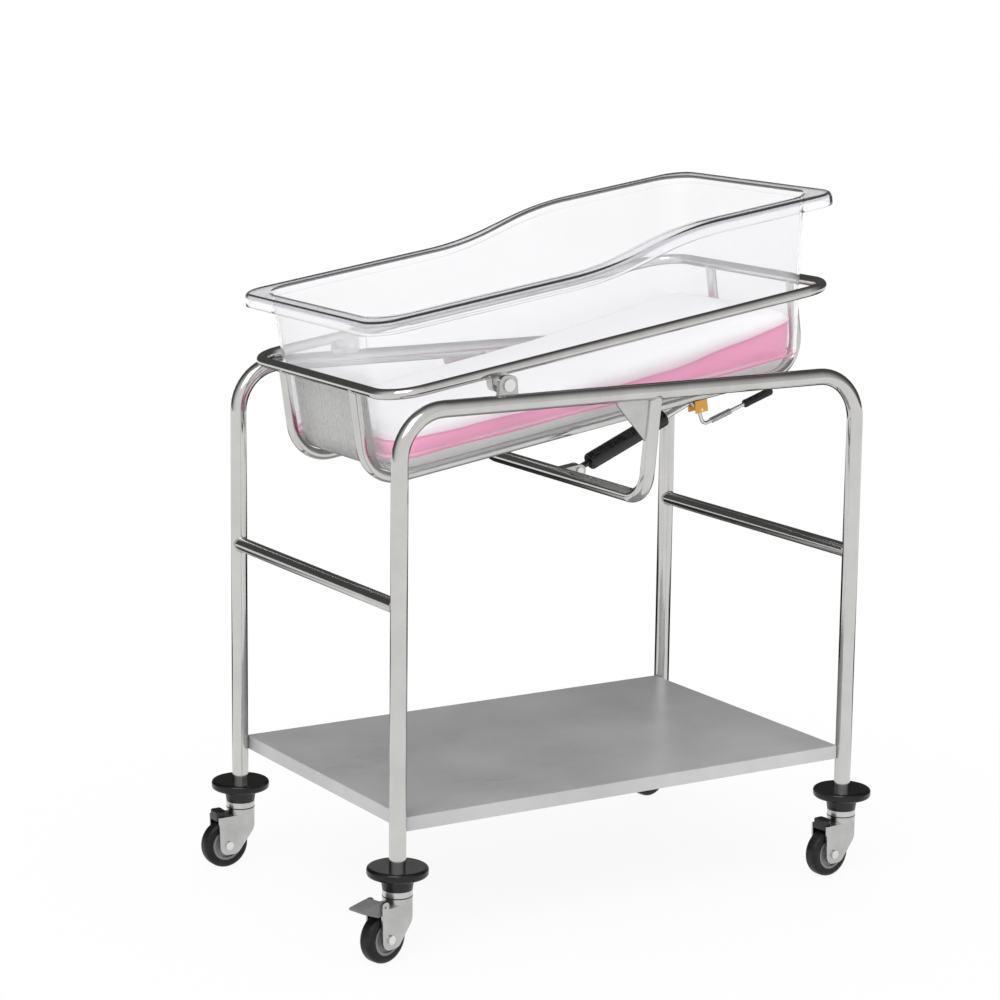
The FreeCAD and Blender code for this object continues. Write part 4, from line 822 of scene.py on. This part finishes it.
@dataclass(frozen=True)
class TubForm:
    """Sizes of the tapered tub, its stepped rim and its lip, in the cradle's frame."""

    box: RoundedBox = RoundedBox()
    wall: float = 4 * MM
    floor: float = -137.7 * MM
    taper_top: float = 149 * MM
    foot: tuple[float, float] = (382 * MM, 387 * MM)
    head: tuple[float, float] = (352 * MM, 390 * MM)
    half: tuple[float, float] = (170 * MM, 185.5 * MM)
    corner: tuple[float, float] = (48 * MM, 50 * MM)
    base_radius: float = 38 * MM
    rim_low: float = 106 * MM
    rim_high: float = 139 * MM
    step_start: float = -20 * MM
    step_end: float = 118 * MM
    step_radius: float = 450 * MM
    lip: tuple[float, float, float, float] = (413 * MM, 417 * MM, 215 * MM, 45 * MM)
    lip_depth: float = 19 * MM

    def sizes(self, level: Any, inset: Any) -> list[Any]:
        """Foot, head, half width and corner at a level: straight tapers, drawn in by the inset."""
        share = (level - self.floor) / (self.taper_top - self.floor)
        return [base + (top - base) * share - inset
                for base, top in (self.foot, self.head, self.half, self.corner)]

    def ring(self, level: Any, inset: Any, scale: float = 1.0) -> tuple[np.ndarray, np.ndarray]:
        """The tub's outline at a level, drawn in and scaled about the middle."""
        u, y = self.box.outline(*self.sizes(level, inset))
        return u * scale, y * scale

    def rim(self, u: np.ndarray) -> np.ndarray:
        """The rim's level: low, a slope between two arcs, high."""
        slope = math.atan2(self.rim_high - self.rim_low, self.step_end - self.step_start)
        setback = self.step_radius * math.tan(slope / 2)
        reach = self.step_radius * math.sin(slope)
        start, end = self.step_start - setback, self.step_end + setback
        rising = self.rim_low + self.step_radius - np.sqrt(
            self.step_radius ** 2 - np.clip(u - start, 0, reach) ** 2)
        falling = self.rim_high - self.step_radius + np.sqrt(
            self.step_radius ** 2 - np.clip(end - u, 0, reach) ** 2)
        line = self.rim_low + np.tan(slope) * (u - self.step_start)
        return np.where(u < start + reach, rising, np.where(u > end - reach, falling, line))


# ---------------------------------------------------------------- tub and bedding

@dataclass
class Tub:
    """The clear shell: floor, rounded base, walls, and a lip that turns out and down."""

    form: TubForm = field(default_factory=TubForm)
    inner_bend: float = 7 * MM
    outer_bend: float = 8 * MM
    base_rows: int = 8
    wall_rows: int = 14
    bend_rows: int = 7
    flat_rows: int = 3

    def rows(self) -> tuple[np.ndarray, np.ndarray]:
        """Rows of points on the inside and top, from the middle of the floor to the lip's edge.

        Returns:
            Rows by columns by 3: scaled floor outlines, a quarter circle, the wall in even steps, a
            quarter circle outwards at the rim, the flat, a quarter circle down and the skirt. Then
            each row's zone: floor to 1, base to 2, wall to 3, inner bend to 4, flat to 5, outer bend
            to 6, skirt to 7.
        """
        form = self.form
        wall, low = form.wall, form.floor + form.wall
        radius = form.base_radius - wall
        rows, zones = [], []

        def lay(zone: float, ring: tuple[np.ndarray, np.ndarray], level: Any) -> None:
            """Adds one row."""
            rows.append((*ring, level))
            zones.append(zone)

        def shares(count: int) -> np.ndarray:
            """Even shares above 0 up to 1."""
            return np.linspace(0, 1, count + 1)[1:]

        for scale in (0.1, 0.35, 0.6, 0.85, 1.0):
            lay(scale, form.ring(low, wall + radius, scale), low)
        for share in shares(self.base_rows):
            angle = share * math.pi / 2
            level = low + radius * (1 - math.cos(angle))
            lay(1 + share, form.ring(level, wall + radius * (1 - math.sin(angle))), level)
        start = low + radius
        rim = form.rim(form.ring((form.rim_low + form.rim_high) / 2, wall)[0])
        for share in shares(self.wall_rows):
            level = start + (rim - self.inner_bend - start) * share
            lay(2 + share, form.ring(level, wall), level)
        for share in shares(self.bend_rows):
            angle = share * math.pi / 2
            level = rim - self.inner_bend * (1 - math.sin(angle))
            lay(3 + share, form.ring(rim, wall - self.inner_bend * (1 - math.cos(angle))), level)
        first = rows[-1]
        edge = form.box.outline(*form.lip)
        inner = form.box.outline(*(size - self.outer_bend for size in form.lip))
        for share in shares(self.flat_rows):
            lay(4 + share, tuple(a + (b - a) * share for a, b in zip(first, inner)), rim)
        for share in shares(self.bend_rows):
            angle = share * math.pi / 2
            lay(5 + share, tuple(a + (b - a) * math.sin(angle) for a, b in zip(inner, edge)),
                rim - self.outer_bend * (1 - math.cos(angle)))
        for share in shares(self.flat_rows):
            lay(6 + share, edge, rim - self.outer_bend - (form.lip_depth - self.outer_bend) * share)
        return CRADLE.placed(rows), np.array(zones)

    def build(self) -> None:
        """Skins the rows, closes the floor's middle and gives the skin the wall's thickness."""
        points, zones = self.rows()
        count, columns, _ = points.shape
        shell = new_piece("tub_shell", dish_skin(points, outwards=True), ACRYLIC, closed=False)
        around = np.append(np.tile(np.arange(columns) / columns, count), 0.0)
        lay_uv(shell, around, np.append(np.repeat(zones, columns), 0.0))
        modify(shell, "SOLIDIFY", thickness=self.form.wall, offset=-1.0, use_even_offset=True)
        shell.visible_shadow = False
        shell.visible_glossy = False
        settle(shell, "tub", "tub_clear", "basin")


@dataclass
class Bedding:
    """The mattress with its piping, and the sheet over it.

    Rates are turns of a wave in radians a metre.
    """

    form: TubForm = field(default_factory=TubForm)
    gap: float = 3 * MM
    start_inset: float = 5 * MM
    most_swell: float = 5 * MM
    swell_pressure: float = 4.0
    swell_frames: int = 20
    edge_radius: float = 14 * MM
    voxel: float = 6 * MM
    bend: float = 50 * MM
    top: Triple = (-70 * MM, -60 * MM, -35 * MM)
    hem: Triple = (-79 * MM, -85 * MM, -54 * MM)
    hem_below_top: float = 6 * MM
    hem_waves: tuple[float, float] = (2.2 * MM, 1.3 * MM)
    hem_rates: tuple[float, float] = (19.0, 47.0)
    sheet_gauge: float = 0.8 * MM
    sheet_gap: float = 1.2 * MM
    fold: float = 1.1 * MM
    fold_height: float = 16 * MM
    fold_rates: Triple = (118.0, 11.0, 61.0)
    rumple: float = 1.6 * MM
    rumple_height: float = 30 * MM
    rumple_rates: Marks = (31.0, 17.0, 43.0, 23.0)
    piping_radius: float = 2 * MM
    piping_level: float = -105 * MM
    piping_slack: float = 0.7 * MM
    slack_rate: float = 0.37

    def line(self, u: Any, levels: Triple) -> np.ndarray:
        """A bent line over the bed: straight from the foot to the bend and from there to the head."""
        return np.interp(u, [-self.form.foot[0], self.bend, self.form.head[0]], levels)

    def base_rows(self, inward: float, inset: float) -> list[tuple[Any, Any, Any]]:
        """Rows of the pad's base: scaled floor outlines and a quarter circle up to the side."""
        form = self.form
        low = form.floor + form.wall + inset
        radius = form.base_radius - form.wall
        rows = [(*form.ring(low, inward + radius, scale), low) for scale in (0.2, 0.6, 1.0)]
        for angle in np.linspace(0, math.pi / 2, 7)[1:]:
            level = low + radius * (1 - math.cos(angle))
            rows.append((*form.ring(level, inward + radius * (1 - math.sin(angle))), level))
        return rows

    def cover_rows(self, start: np.ndarray, inward: float, lift: float) -> list[tuple[Any, Any, Any]]:
        """Rows from a start line up the side, round the top edge and in to the middle of the top."""
        form = self.form
        crest = self.line(form.ring(0.0, inward)[0], self.top) + lift
        round_off = np.minimum(self.edge_radius, crest - start)
        rows = []
        for share in np.linspace(0, 1, 6)[1:]:
            level = start + (crest - round_off - start) * share
            rows.append((*form.ring(level, inward), level))
        for angle in np.linspace(0, math.pi / 2, 8)[1:]:
            level = crest - round_off * (1 - math.sin(angle))
            rows.append((*form.ring(crest, inward + self.edge_radius * (1 - math.cos(angle))), level))
        edge_u, edge_y, _ = rows[-1]
        for scale in (0.96, 0.92, 0.86, 0.8, 0.7, 0.6, 0.5, 0.4, 0.3, 0.2, 0.1, 0.03):
            rows.append((edge_u * scale, edge_y * scale, self.line(edge_u * scale, self.top) + lift))
        return rows

    def mattress(self) -> bpy.types.Object:
        """A foam pad in a two-tone cover, swollen by a short cloth simulation."""
        inward = self.form.wall + self.gap + self.start_inset
        base = self.base_rows(inward, self.start_inset)
        cover = self.cover_rows(base[-1][2] + 0 * base[-1][0], inward, -self.start_inset)
        pad = new_piece("mattress_pad", rod_skin(CRADLE.placed(base + cover)), PINK)
        modify(pad, "REMESH", mode="VOXEL", voxel_size=self.voxel)
        apply_modifiers(pad)
        self.swell(pad)
        modify(pad, "SUBSURF", levels=1, render_levels=1)
        shade_smooth(pad.data)
        settle(pad, "tub", "mattress_pink", "mattress")
        return pad

    def swell(self, pad: bpy.types.Object) -> None:
        """Blows the pad up by cloth pressure and keeps each point within the most it may move."""
        start = point_values(pad)
        settings = modify(pad, "CLOTH").settings
        settings.use_pressure = True
        settings.uniform_pressure_force = self.swell_pressure
        settings.effector_weights.gravity = 0.0
        for number in range(1, self.swell_frames + 1):
            bpy.context.scene.frame_set(number)
        apply_modifiers(pad)
        bpy.context.scene.frame_set(1)
        moved = point_values(pad) - start
        length = np.linalg.norm(moved, axis=1, keepdims=True)
        moved *= np.minimum(1.0, self.most_swell / np.maximum(length, 1e-9))
        move_points(pad, start + moved)

    def piping(self) -> None:
        """A thin welt round the pad where its side meets its base, a little slack along its way."""
        inward = self.form.wall + self.gap - self.piping_radius * 0.5
        u, y = self.form.ring(self.piping_level, inward)
        slack = self.piping_slack * np.sin(np.arange(u.size) * self.slack_rate)
        path = CRADLE.world(u, y, self.piping_level + slack)
        rings = tube_rings(path, self.piping_radius, CRADLE.world(0, 0, 1) - CRADLE.world(0, 0, 0),
                           closed=True)
        settle(new_piece("mattress_piping", loop_skin(rings), PIPING), "tub", "mattress_pink")

    def sheet(self, pad: bpy.types.Object) -> None:
        """A thin cloth over the pad's top and upper sides, drawn onto it, folded and given thickness.

        Near the hem it stands out in folds: sums of two waves along the hem, fading with height. On the
        top it is rumpled by products of slow waves.
        """
        inward = self.form.wall + self.gap - 0.5 * MM
        ring_u, ring_y = self.form.ring(self.hem[1], inward)
        step = np.hypot(np.diff(ring_u, append=ring_u[:1]), np.diff(ring_y, append=ring_y[:1]))
        along = np.cumsum(step) - step
        slow_wave, quick_wave = self.hem_waves
        slow_rate, quick_rate = self.hem_rates
        wander = slow_wave * np.sin(along * slow_rate) + quick_wave * np.sin(along * quick_rate + 1.0)
        highest = self.line(ring_u, self.top) - self.hem_below_top
        hem = np.minimum(self.line(ring_u, self.hem) + wander, highest)
        rows = [(*self.form.ring(hem, inward), hem)] + self.cover_rows(hem, inward, 0.5 * MM)
        points = CRADLE.placed(rows)
        count, columns, _ = points.shape
        piece = new_piece("bed_sheet", dish_skin(points, outwards=False), COTTON, closed=False)
        rise = np.linalg.norm(np.diff(points, axis=0), axis=2).cumsum(0)
        up = np.append(np.concatenate([np.zeros((1, columns)), rise]).ravel(), rise.max())
        around = np.append(np.tile(along, count), 0.0)
        lay_uv(piece, around, up)
        modify(piece, "SHRINKWRAP", target=pad, wrap_method="NEAREST_SURFACEPOINT",
               wrap_mode="OUTSIDE_SURFACE", offset=self.sheet_gap)
        apply_modifiers(piece)
        self.rumple_sheet(piece, around, up)
        modify(piece, "SOLIDIFY", thickness=self.sheet_gauge, offset=1.0)
        modify(piece, "SUBSURF", levels=1, render_levels=1)
        settle(piece, "tub", "sheet_white", "sheet")

    def rumple_sheet(self, piece: bpy.types.Object, along: np.ndarray, up: np.ndarray) -> None:
        """Moves the sheet's points outwards along their normals, never into the pad.

        Folds and rumples both lie between 0 and 1 before their heights: waves of half the range about
        its middle, the main ones with a start that drifts by a slower wave.
        """
        quick, drift, broad = self.fold_rates
        folds = (0.5 + 0.3 * np.sin(along * quick + 2.0 * np.sin(along * drift))
                 + 0.2 * np.sin(along * broad))
        near_hem = np.exp(-(up / self.fold_height) ** 2)
        place = point_values(piece)
        x, y = place[:, 0], place[:, 1]
        rates = self.rumple_rates
        slow = np.sin(x * rates[0] + 2.0 * np.sin(y * rates[1]))
        cross = np.sin(y * rates[2] + 1.7 * np.sin(x * rates[3]))
        on_top = 1.0 - np.exp(-(up / self.rumple_height) ** 2)
        out = self.fold * folds * near_hem + self.rumple * on_top * (0.5 + 0.5 * slow * cross)
        move_points(piece, place + point_values(piece, "normal") * out[:, None])

    def build(self) -> None:
        """Builds the mattress, its piping and the sheet."""
        pad = self.mattress()
        self.piping()
        self.sheet(pad)


# ---------------------------------------------------------------- frame parts

@dataclass
class Stand:
    """The tube stand: arches, crossbars, shelf and the yoke under the rails, with their welds."""

    leg_x: float = 400 * MM
    leg_y: float = 250 * MM
    rail_height: float = 792 * MM
    crossbar_height: float = 515 * MM
    tube_radius: float = 12.5 * MM
    bar_radius: float = 11 * MM
    yoke_x: float = 28.6 * MM
    yoke_lean: float = math.radians(7.5)

    def welds(self) -> None:
        """Beads at both ends of each crossbar and at the yoke's two tops."""
        upright = (0.0, 0.0, 1.0)
        beads = [weld_bead((x * self.leg_x, y * self.leg_y, self.crossbar_height), (0.0, -y, 0.0), upright,
                           (self.bar_radius, self.tube_radius))
                 for x in (-1.0, 1.0) for y in (-1.0, 1.0)]
        lean, drop = math.sin(self.yoke_lean), -math.cos(self.yoke_lean)
        beads += [weld_bead((self.yoke_x, y * self.leg_y, self.rail_height), (0.0, -y * lean, drop),
                            (1.0, 0.0, 0.0), (self.bar_radius, self.tube_radius)) for y in (-1.0, 1.0)]
        settle(new_piece("stand_weld_beads", joined(beads), WELD), "stand", "polished_tube")

    def build(self) -> None:
        """Dresses the stand's solids and lays its welds."""
        dress(["near_side_arch", "far_side_arch", "drop_yoke"], TUBE)
        dress(["foot_crossbar", "head_crossbar"], BAR)
        dress(["shelf"], PLATE)
        dress(["near_gusset", "far_gusset", "near_pivot_bracket", "far_pivot_bracket", "strut_base_lug"],
              ZINC)
        dress(["strut_lower_pin"], BRIGHT)
        self.welds()


@dataclass
class CradleFrame:
    """The ring rail, its hoops and the pivots they tilt on."""

    ring_foot: float = 400 * MM
    ring_head: float = 382 * MM
    hoop_side: float = 107 * MM
    tube_radius: float = 8 * MM

    def welds(self) -> None:
        """Beads where the hoops' four ends meet the ring."""
        origin = CRADLE.world(0, 0, 0)
        down = tuple(origin - CRADLE.world(0, 0, 1))
        beads = [weld_bead(tuple(CRADLE.world(u, y * self.hoop_side, 0)), down, (0.0, 1.0, 0.0),
                           (self.tube_radius * 0.98, self.tube_radius), 1.2 * MM)
                 for u in (-self.ring_foot, self.ring_head) for y in (-1.0, 1.0)]
        settle(new_piece("cradle_weld_beads", joined(beads), WELD), "cradle", "polished_tube")

    def build(self) -> None:
        """Dresses the cradle's solids and lays its welds."""
        dress(["ring_rail", "near_hoop", "far_hoop", "strut_cross_bar"], TUBE)
        dress(["near_ring_lug", "far_ring_lug", "strut_top_bracket"], ZINC)
        dress(["near_pivot_pin", "far_pivot_pin", "near_spacer_bush", "far_spacer_bush", "lever_pin"], BRIGHT)
        dress(["release_head"], ORANGE)
        self.welds()


@dataclass
class Strut:
    """The lockable gas strut and its release lever with a spring and a ribbed grip."""

    elbow: tuple[float, float] = (263.357 * MM, -225.963 * MM)
    rise: float = math.radians(10)
    reach: float = 140 * MM
    grip_length: float = 57 * MM
    grip_radius: float = 6.5 * MM
    grip_rounds: tuple[float, float] = (2.5 * MM, 4 * MM)
    end_share: float = 0.55
    rib_depth: float = 0.55 * MM
    rib_pitch: float = 4.4 * MM
    ribbed_run: tuple[float, float] = (0.12, 0.86)
    rib_fade: float = 0.04
    spring_start: float = 16 * MM
    spring_length: float = 40 * MM
    spring_radius: float = 4.1 * MM
    spring_wire: float = 0.75 * MM
    spring_turns: int = 17

    def along(self, place: np.ndarray) -> np.ndarray:
        """Points on the lever's straight run, by their distance from its elbow."""
        return CRADLE.world(self.elbow[0] + place * math.cos(self.rise), 0 * place,
                            self.elbow[1] + place * math.sin(self.rise))

    def grip(self) -> None:
        """A turned profile: round ends, and ribs between them as the square of a sine."""
        start = self.reach - self.grip_length
        share = np.concatenate([np.linspace(0, 0.06, 7)[1:], np.linspace(0.06, 0.93, 110)[1:],
                                np.linspace(0.93, 1.0, 10)[1:]])
        place = start + share * self.grip_length
        near_round, far_round = self.grip_rounds
        from_end = np.minimum(share * self.grip_length / near_round, 1.0)
        to_end = np.minimum((1 - share) * self.grip_length / far_round, 1.0)
        ends = np.sqrt(1 - (1 - from_end) ** 2) * np.sqrt(1 - (1 - to_end) ** 2)
        first, last = self.ribbed_run
        ribbed = (np.clip((share - first) / self.rib_fade, 0, 1)
                  * np.clip((last - share) / self.rib_fade, 0, 1))
        ribs = self.rib_depth * ribbed * np.sin(math.pi * place / self.rib_pitch) ** 2
        rounding = self.end_share + (1 - self.end_share) * ends
        radius = np.maximum((self.grip_radius - ribs) * rounding, 1 * MM)
        rings = tube_rings(self.along(place), radius, np.array((0.0, 1.0, 0.0)), 28)
        settle(new_piece("ribbed_grip", rod_skin(rings), GRIP), "release_lever", "grip_rubber", "lever_grip")

    def spring(self) -> None:
        """A close-wound helix about the lever's wire."""
        turn = np.linspace(0, 2 * math.pi * self.spring_turns, self.spring_turns * 16 + 1)
        middle = self.along(self.spring_start + self.spring_length * turn / turn[-1])
        square = self.along(np.array([0.0, 1.0]))
        ahead = square[1] - square[0]
        side = np.array((0.0, 1.0, 0.0))
        out = np.cos(turn)[:, None] * side + np.sin(turn)[:, None] * np.cross(ahead, side)
        rings = tube_rings(middle + self.spring_radius * out, self.spring_wire, out, 6)
        settle(new_piece("lever_spring", rod_skin(rings), BRIGHT), "release_lever", "fastener_metal")

    def build(self) -> None:
        """Dresses the strut's and the lever's solids and adds the spring and the grip."""
        dress(["gas_cylinder"], STRUT_PAINT)
        dress(["gas_rod"], CHROME)
        dress(["strut_upper_pin", "lever_wire"], BRIGHT)
        self.grip()
        self.spring()


@dataclass
class Caster:
    """A swivel caster with its bumper disc; a braked one has a pedal, the others a black block at the back,
    painted shade for the dark inside of the fork.

    Its own frame has its origin on the floor under the leg's axis, with X forward and the wheel behind.
    """

    corner: str
    braked: bool
    turn: float
    leg_x: float = 400 * MM
    leg_y: float = 250 * MM
    race_level: float = 93.85 * MM
    seal_radius: float = 21.2 * MM
    seal: float = 1.2 * MM
    # The black block at the fork's back is painted shade for the dark inside of the fork.
    shade_block_back: tuple[float, float] = (34 * MM, 47 * MM)
    shade_block_levels: tuple[float, float] = (76 * MM, 93 * MM)
    shade_block_half: float = 13 * MM
    shade_block_draw_in: float = 2.5 * MM
    shade_block_corner: float = 3.5 * MM
    pedal_start: float = -40 * MM
    pedal_top: float = 96.5 * MM
    pedal_bend: float = 7 * MM
    pedal_slope: float = 6 / 35
    tread_places: Marks = (15 * MM, 21 * MM, 27 * MM, 33 * MM)
    tread_half: float = 11 * MM
    tread: float = 0.9 * MM

    def placed(self, points: np.ndarray) -> np.ndarray:
        """Points of the caster's own frame, turned about the leg's axis and moved under the leg."""
        turn = math.radians(self.turn)
        x_sign = 1.0 if self.corner.endswith("head") else -1.0
        y_sign = 1.0 if self.corner.startswith("far") else -1.0
        x, y = points[..., 0], points[..., 1]
        return np.stack([x_sign * self.leg_x + x * math.cos(turn) - y * math.sin(turn),
                         y_sign * self.leg_y + x * math.sin(turn) + y * math.cos(turn), points[..., 2]], -1)

    def race_seal(self) -> None:
        """A black ring that fills the gap between the two races."""
        angle = np.linspace(0, 2 * math.pi, 64, endpoint=False)
        path = np.stack([self.seal_radius * np.cos(angle), self.seal_radius * np.sin(angle),
                         np.full(angle.size, self.race_level)], -1)
        rings = tube_rings(self.placed(path), self.seal, np.array((0.0, 0.0, 1.0)), closed=True)
        settle(new_piece(f"{self.corner}_race_seal", loop_skin(rings), BLACK_SEAL_AND_SHADE), f"{self.corner}_swivel",
               "mount_plastic")

    def shade_block(self) -> None:
        """A black block between the fork's cheeks, painted shade for the dark inside of the fork:
        round-cornered outlines, drawn in at both ends.
        """
        box = RoundedBox(6, 4, 4)
        front, back = self.shade_block_back
        low, high = self.shade_block_levels
        draw_in = self.shade_block_draw_in
        angle = np.linspace(0, math.pi / 2, 5)
        edge = draw_in * np.sin(angle)
        inset = draw_in * (1 - np.cos(angle[::-1]))
        levels = np.concatenate([low + draw_in - edge[::-1], high - draw_in + edge])
        insets = np.concatenate([inset, inset[::-1]])
        rows = []
        for level, inward in zip(levels, insets):
            half = self.shade_block_half - inward
            x, y = box.outline(back - inward, inward - front, half, self.shade_block_corner - inward)
            rows.append(np.stack([x, y, np.full(x.size, level)], -1))
        piece = new_piece(f"{self.corner}_shade_block", rod_skin(self.placed(np.stack(rows))), BLACK_SEAL_AND_SHADE)
        settle(piece, f"{self.corner}_swivel", "mount_plastic")

    def pedal_treads(self) -> None:
        """Thin ribs laid across the pedal's top, which falls evenly behind its bend."""
        taper = self.tread * np.array([0.5, 0.9, 1.0, 1.0, 1.0, 0.9, 0.5])
        across = np.linspace(-self.tread_half, self.tread_half, taper.size)
        skins = []
        for back in self.tread_places:
            level = self.pedal_top - (back - self.pedal_bend) * self.pedal_slope
            path = np.stack([np.full(taper.size, self.pedal_start - back), across,
                             np.full(taper.size, level)], -1)
            skins.append(rod_skin(tube_rings(self.placed(path), taper, np.array((0.0, 0.0, 1.0)))))
        settle(new_piece(f"{self.corner}_pedal_treads", joined(skins), PEDAL), f"{self.corner}_brake",
               "pedal_plastic")

    def build(self) -> None:
        """Dresses one caster's solids and adds its small parts."""
        dress([f"{self.corner}_bumper_disc"], BUMPER)
        dress([f"{self.corner}_caster_mount"], CUP)
        dress([f"{self.corner}_caster_fork"], ZINC)
        dress([f"{self.corner}_axle"], BRIGHT)
        dress([f"{self.corner}_wheel_hub"], HUB)
        dress([f"{self.corner}_tyre"], TYRE)
        self.race_seal()
        if self.braked:
            dress([f"{self.corner}_brake_pedal"], PEDAL)
            self.pedal_treads()
        else:
            self.shade_block()


# ---------------------------------------------------------------- studio

@dataclass
class Studio:
    """Camera, floor, background, one lamp and the half globe of greys that polished metal mirrors."""

    eye: Triple = (-2.38970434, -3.74619988, 1.451225)
    azimuth: float = -0.552185405
    elevation: float = 0.191783535
    roll: float = 0.0119735428
    lens: float = 105.8539
    sensor: float = 36.0
    fill: float = 0.78
    key_power: float = 96.0
    key_size: float = 3.0
    key_place: Triple = (-2.6, -2.4, 4.2)
    key_aim: Triple = (0.0, 0.0, 0.6)
    floor_size: float = 60.0
    floor_grey: float = 0.93
    floor_scale: float = 0.4
    floor_stops: tuple[tuple[float, float], ...] = ((0.12, 0.90), (0.5, 1.0))
    dome_radius: float = 12.0
    dome_rows: int = 20
    dome_columns: int = 48
    dome_greys: tuple[tuple[float, float], ...] = (
        (0.0, 1.0), (0.27, 0.80), (0.39, 0.50), (0.50, 0.26), (0.60, 0.13), (0.68, 0.09), (1.0, 0.08))
    patch_ahead: Marks = (0.4, 0.7, 3.0, 4.0)
    patch_side: tuple[float, float] = (2.0, 1.6)
    patch_depth: float = 0.98

    def camera(self) -> None:
        """Sets the camera from its place, direction, roll and lens."""
        a, e = self.azimuth, self.elevation
        back = Vector((math.sin(a) * math.cos(e), -math.cos(a) * math.cos(e), math.sin(e)))
        right = Vector((math.cos(a), math.sin(a), 0.0))
        up = back.cross(right)
        turned_right = right * math.cos(self.roll) + up * math.sin(self.roll)
        turned_up = up * math.cos(self.roll) - right * math.sin(self.roll)
        data = bpy.data.cameras.new("camera")
        data.lens = self.lens
        data.sensor_width = self.sensor
        camera = linked("camera", data)
        axes = Matrix((turned_right, turned_up, back)).transposed().to_4x4()
        camera.matrix_world = Matrix.Translation(self.eye) @ axes
        bpy.context.scene.camera = camera

    @staticmethod
    def seen(recipe: Recipe) -> Wire:
        """One for camera, glossy and transmission rays, zero for the rest."""
        rays = [recipe.add("LightPath", output=name)
                for name in ("Is Camera Ray", "Is Glossy Ray", "Is Transmission Ray")]
        return rays[0] | rays[1] | rays[2]

    def world(self) -> None:
        """White where it is seen or mirrored, and a soft fill for the rest."""
        world = bpy.data.worlds.new("studio_world")
        world.use_nodes = True
        recipe = Recipe(world.node_tree)
        strength = self.seen(recipe) * (1.0 - self.fill) + self.fill
        recipe.output(recipe.add("Background", {}, {"Color": (1.0, 1.0, 1.0, 1.0), "Strength": strength}))
        bpy.context.scene.world = world

    @staticmethod
    def stage_piece(name: str, points: np.ndarray, faces: np.ndarray,
                    material: bpy.types.Material) -> bpy.types.Object:
        """A mesh that belongs to the studio."""
        mesh = bpy.data.meshes.new(name)
        mesh.from_pydata(points.tolist(), [], faces.tolist())
        mesh.materials.append(material)
        piece = linked(name, mesh)
        return piece

    def floor(self) -> None:
        """A pale floor that keeps the shadow near the object and turns white away from it.

        Polished surfaces see a dark patch on it behind the object, which draws their edges.
        """
        half = self.floor_size / 2
        material, recipe = blank_material("studio_floor")
        away = recipe.measure("LENGTH", recipe.place())
        white = recipe.ramp(away * self.floor_scale, *self.floor_stops) * self.seen(recipe)
        pale = recipe.add("BsdfDiffuse", {}, {"Color": (*[self.floor_grey] * 3, 1.0)})
        side, ahead, _ = recipe.parts(recipe.place(turn=(0.0, 0.0, -self.azimuth)))
        patch = (recipe.band(ahead, self.patch_ahead) * recipe.rise(abs(side), *self.patch_side)
                 * recipe.add("LightPath", output="Is Glossy Ray"))
        recipe.output(recipe.mixed(white, pale, recipe.glow(1.0 - patch * self.patch_depth)))
        points = np.array([[-half, -half, 0], [half, -half, 0], [half, half, 0], [-half, half, 0]])
        self.stage_piece("studio_floor", points, np.array([[0, 1, 2, 3]]), material)

    def dome(self) -> None:
        """Half a globe that only mirroring surfaces see.

        Its grey falls from pale to dark with the share of its direction that points the way the camera
        looks.
        """
        material, recipe = blank_material("studio_dome")
        way = recipe.place(scale=(1 / self.dome_radius,) * 3)
        forward = (-math.sin(self.azimuth), math.cos(self.azimuth), 0.0)
        ahead = recipe.measure("DOT_PRODUCT", way, forward)
        recipe.output(recipe.glow(recipe.ramp(ahead * 0.5 + 0.5, *self.dome_greys)))
        bearing = np.linspace(0, 2 * math.pi, self.dome_columns, endpoint=False)[None, :]
        height = np.linspace(-0.02, math.pi / 2 - 0.01, self.dome_rows)[:, None]
        points = self.dome_radius * np.stack([np.cos(height) * np.cos(bearing),
                                              np.cos(height) * np.sin(bearing),
                                              np.sin(height) + 0 * bearing], -1)
        faces = grid_faces(self.dome_rows, self.dome_columns)
        dome = self.stage_piece("studio_dome", points.reshape(-1, 3), faces, material)
        for ray in ("camera", "diffuse", "transmission", "shadow", "volume_scatter"):
            setattr(dome, f"visible_{ray}", False)

    def lamp(self) -> None:
        """One broad soft lamp from the upper left."""
        data = bpy.data.lights.new("key_lamp", "AREA")
        data.size = self.key_size
        data.energy = self.key_power
        lamp = linked("key_lamp", data)
        lamp.location = self.key_place
        lamp.rotation_mode = "QUATERNION"
        lamp.rotation_quaternion = (Vector(self.key_place) - Vector(self.key_aim)).to_track_quat("Z", "Y")

    def build(self) -> None:
        """Sets the whole studio up."""
        self.camera()
        self.world()
        self.floor()
        self.dome()
        self.lamp()
        bpy.context.scene.view_settings.view_transform = "Standard"


def main() -> None:
    """Builds the studio, then the object's sub-assemblies in order."""
    logging.basicConfig(level=logging.INFO, format="%(message)s")
    Studio().build()
    casters = [Caster("near_foot", True, 14.5), Caster("near_head", False, 6.0),
               Caster("far_foot", False, 1.0), Caster("far_head", True, 12.0)]
    for assembly in (Stand(), CradleFrame(), Strut(), *casters, Tub(), Bedding()):
        assembly.build()


if __name__ == "__main__":
    main()
